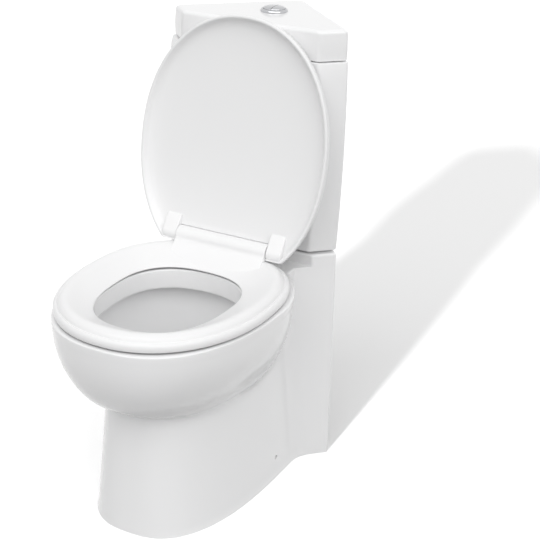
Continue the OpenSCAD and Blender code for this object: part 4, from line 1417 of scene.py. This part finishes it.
@dataclass
class ToiletLid(Part):
    """The lid, drawn closed and swung open about the hinge.

    The steps are insets and rises of its outlines, from the middle of the underside, round the
    edge, to the middle of the top. The web's points are places behind and above the hinge line.
    """

    rim_z: float = 419.5
    open_angle: float = 100.0
    back_reach: float = 12.0
    room_half: float = 91.6
    room_radius: float = 16.3
    lug_radius: float = 13.5
    lug_start: float = 92.0
    lug_width: float = 29.0
    lug_edge: float = 5.5
    points: int = 200
    outline: Oval = Oval(185.0, 232.6, 236.0, -113.0, 2.12, 2.15)
    steps: tuple[Pair, ...] = (
        (95, 17.0), (70, 16.8), (50, 16.4), (36, 15.6), (24, 14.0), (17, 11.8), (12, 9.0), (9, 6.0),
        (7, 3.0), (5.6, 1.0), (4.4, 0.2), (3, 0.0), (1.5, 0.25), (0.5, 1.2), (0, 3.0), (0.1, 6.5),
        (0.5, 10.5), (1.6, 14.0), (3.4, 16.6), (6, 18.4), (10, 19.5), (16, 20.3), (28, 21.1),
        (45, 21.9), (70, 22.5), (95, 22.8),
    )
    web: tuple[Pair, ...] = (
        (-9.5, 12.0), (-31.0, 7.0), (-34.0, 5.0), (-34.5, 2.6), (-32.0, 0.4), (-27.0, -2.6),
        (-20.0, -6.0), (-12.0, -9.2),
    )

    def ring(self, inset: float, rise: float) -> Ring:
        """Draws one outline of the closed lid.

        Args:
            inset: how far it is drawn in.
            rise: its height above the lid's rim.

        Returns:
            The outline.
        """
        plan = [self.outline.at(360 * (k + 0.5) / self.points, inset) for k in range(self.points)]
        back_y = self.at.hinge_y + self.back_reach - inset * 0.4
        return [Vector((p.x, min(p.y, back_y), self.rim_z + rise)) for p in plan]

    def build(self, shop: Workshop) -> None:
        """Builds the lid in its open place.

        Args:
            shop: dresses what is built.
        """
        y, z, half, low = self.at.hinge_y, self.at.hinge_z, self.room_half, self.rim_z
        shell = combined(
            loft([self.ring(i, r) for i, r in self.steps]), Cut.AWAY,
            bar((-half, y, z), (half, y, z), self.room_radius, 96),
            block((-half, y, low - 5), (half, y + 60, low + 55)),
        )
        plastic = combined(shell, Cut.TOGETHER, self.lugs())
        pins = both_sides(bar((90, y, z), (118, y, z), PIN_BORE, 32))
        plastic = combined(plastic, Cut.AWAY, pins)
        bmesh.ops.rotate(
            plastic, cent=Vector((0, y, z)), verts=plastic.verts[:],
            matrix=Matrix.Rotation(math.radians(-self.open_angle), 3, "X"),
        )
        shop.piece("lid_moulding", plastic, Body.LID, "seat_plastic", "toilet_lid", sharp=42.0)

    def lugs(self) -> Solid:
        """Builds the two hinge lugs and the webs that rise to the lid's inner face.

        Returns:
            Both lugs, with rounded ends.
        """
        r = self.lug_radius
        turns = [-90 + 215 * i / 40 for i in range(41)], [-90 - 6 * i for i in range(5, 0, -1)]
        round_end, under = (
            [(r * math.cos(math.radians(a)), r * math.sin(math.radians(a))) for a in angles]
            for angles in turns
        )
        start = Vector((self.lug_start, self.at.hinge_y, self.at.hinge_z))
        section = [*round_end, *self.web, *under]
        return both_sides(pushed(section, start, self.lug_width, self.lug_edge))


# ---------------------------------------------------------------- studio


@dataclass(frozen=True)
class Lamp:
    """A far lamp: its name, its power, how broad it is in degrees, and where it stands."""

    name: str
    power: float
    breadth: float
    stands: Triple

    def hang(self) -> bpy.types.Object:
        """Adds the lamp to the scene.

        Returns:
            The lamp.
        """
        data = bpy.data.lights.new(self.name, "SUN")
        data.energy = self.power
        data.angle = math.radians(self.breadth)
        thing = placed(self.name, data)
        thing.rotation_euler = (-Vector(self.stands)).to_track_quat("-Z", "Y").to_euler()
        return thing


@dataclass(frozen=True)
class Studio:
    """Camera, lamps, floor and backdrop."""

    camera_place: Triple = (1.0900, -1.9004, 1.3487)
    azimuth: float = 27.81
    elevation: float = 23.40
    roll: float = 1.67
    focal_pixels: float = 1347.6
    frame_pixels: float = 540.0
    centre_pixel: float = 250.23
    sensor: float = 36.0
    sky: float = 0.68
    zenith: float = 0.7
    front: Lamp = Lamp("front_lamp", 0.8, 50.0, (0.0, -0.9, 0.95))
    side: Lamp = Lamp("side_lamp", 0.79, 50.0, (0.85, -0.5, 0.7))
    low: Lamp = Lamp("low_lamp", 3.2, 3.0, (0.04, -1.0, 0.42))
    floor_size: float = 14.0
    floor_drop: float = 0.0004
    floor_roughness: float = 0.8
    floor_seen: float = 0.84
    floor_bounce: float = 0.22

    def build(self) -> None:
        """Builds the camera, the light and the floor."""
        self.camera()
        self.backdrop()
        self.floor()
        self.lamps()
        bpy.context.scene.view_settings.view_transform = "Standard"

    def camera(self) -> None:
        """Places the camera at the photograph's viewing angle."""
        data = bpy.data.cameras.new("camera")
        data.sensor_width = self.sensor
        data.sensor_fit = "HORIZONTAL"
        data.lens = self.focal_pixels / self.frame_pixels * self.sensor
        data.shift_x = (self.frame_pixels / 2 - self.centre_pixel) / self.frame_pixels
        a, e, r = (math.radians(v) for v in (self.azimuth, self.elevation, self.roll))
        ahead = Vector((-math.sin(a) * math.cos(e), math.cos(a) * math.cos(e), -math.sin(e)))
        right = Vector((math.cos(a), math.sin(a), 0))
        up = right.cross(ahead)
        across = math.cos(r) * right + math.sin(r) * up
        above = -math.sin(r) * right + math.cos(r) * up
        turn = Matrix((across, above, -ahead)).transposed().to_4x4()
        thing = placed("camera", data)
        thing.matrix_world = Matrix.Translation(self.camera_place) @ turn
        bpy.context.scene.camera = thing

    def backdrop(self) -> None:
        """Sets a white background and a soft sky that is brighter overhead."""
        world = bpy.data.worlds.new("studio")
        bpy.context.scene.world = world
        world.use_nodes = True
        tree = world.node_tree
        tree.nodes.clear()
        place = add_node(tree, "TexCoord", {}).outputs["Generated"]
        slope = add_node(tree, "MapRange", {
            "From Min": 0.0, "From Max": 1.0, "To Min": self.sky, "To Max": self.zenith,
            "Value": add_node(tree, "SeparateXYZ", {"Vector": place}).outputs["Z"],
        })
        light, white = (
            add_node(tree, "Background", {"Color": (1, 1, 1, 1), "Strength": strength})
            for strength in (slope.outputs["Result"], 1.0)
        )
        mix = add_node(tree, "MixShader", {
            "Fac": self.seen(tree), 1: light.outputs["Background"], 2: white.outputs["Background"],
        })
        add_node(tree, "OutputWorld", {"Surface": mix.outputs["Shader"]})

    def seen(self, tree: bpy.types.NodeTree) -> bpy.types.NodeSocket:
        """Adds nodes that tell the rays that see a surface from those that light the part.

        Args:
            tree: the material's or world's node tree.

        Returns:
            A socket that is 1 for camera, glossy and transmission rays, and 0 for the rest.
        """
        path = add_node(tree, "LightPath", {})
        seen = path.outputs["Is Camera Ray"]
        for ray in ("Is Glossy Ray", "Is Transmission Ray"):
            either = {0: seen, 1: path.outputs[ray]}
            seen = add_node(tree, "Math", either, operation="MAXIMUM").outputs["Value"]
        return seen

    def lamps(self) -> None:
        """Hangs two broad lamps for the part, and a low one for the floor's long shadow alone."""
        for lamp in (self.front, self.side):
            lamp.hang()
        shadow = self.low.hang()
        only = bpy.data.collections.new("floor_only")
        only.objects.link(bpy.data.objects["floor"])
        shadow.light_linking.receiver_collection = only

    def floor(self) -> None:
        """Lays a plain pale floor, which is white to the eye and sends less light back up."""
        bm = bmesh.new()
        bmesh.ops.create_grid(bm, x_segments=1, y_segments=1, size=self.floor_size)
        bmesh.ops.translate(bm, vec=(0, 0, -self.floor_drop), verts=bm.verts[:])
        mesh = as_mesh("floor", bm)
        made = bpy.data.materials.new("pale_floor")
        made.use_nodes = True
        tree = made.node_tree
        bounce, bright = ((*[level] * 3, 1.0) for level in (self.floor_bounce, self.floor_seen))
        ends = {"A": bounce, "B": bright, "Factor": self.seen(tree)}
        tone = add_node(tree, "Mix", ends, data_type="RGBA")
        wire(tree.nodes["Principled BSDF"], {
            "Roughness": self.floor_roughness, "Specular IOR Level": 0.0,
            "Base Color": tone.outputs["Result"],
        })
        mesh.materials.append(made)
        placed("floor", mesh)


# ---------------------------------------------------------------- making


def main() -> None:
    """Builds every part in order, then the studio."""
    logging.basicConfig(level=logging.INFO, format="%(name)s: %(message)s")
    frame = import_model()
    shop = Workshop()
    shop.dress(frame)
    for part in (Pan(), Cistern(), FlushButton(), Seat(), ToiletLid()):
        part.build(shop)
    Studio().build()


if __name__ == "__main__":
    main()
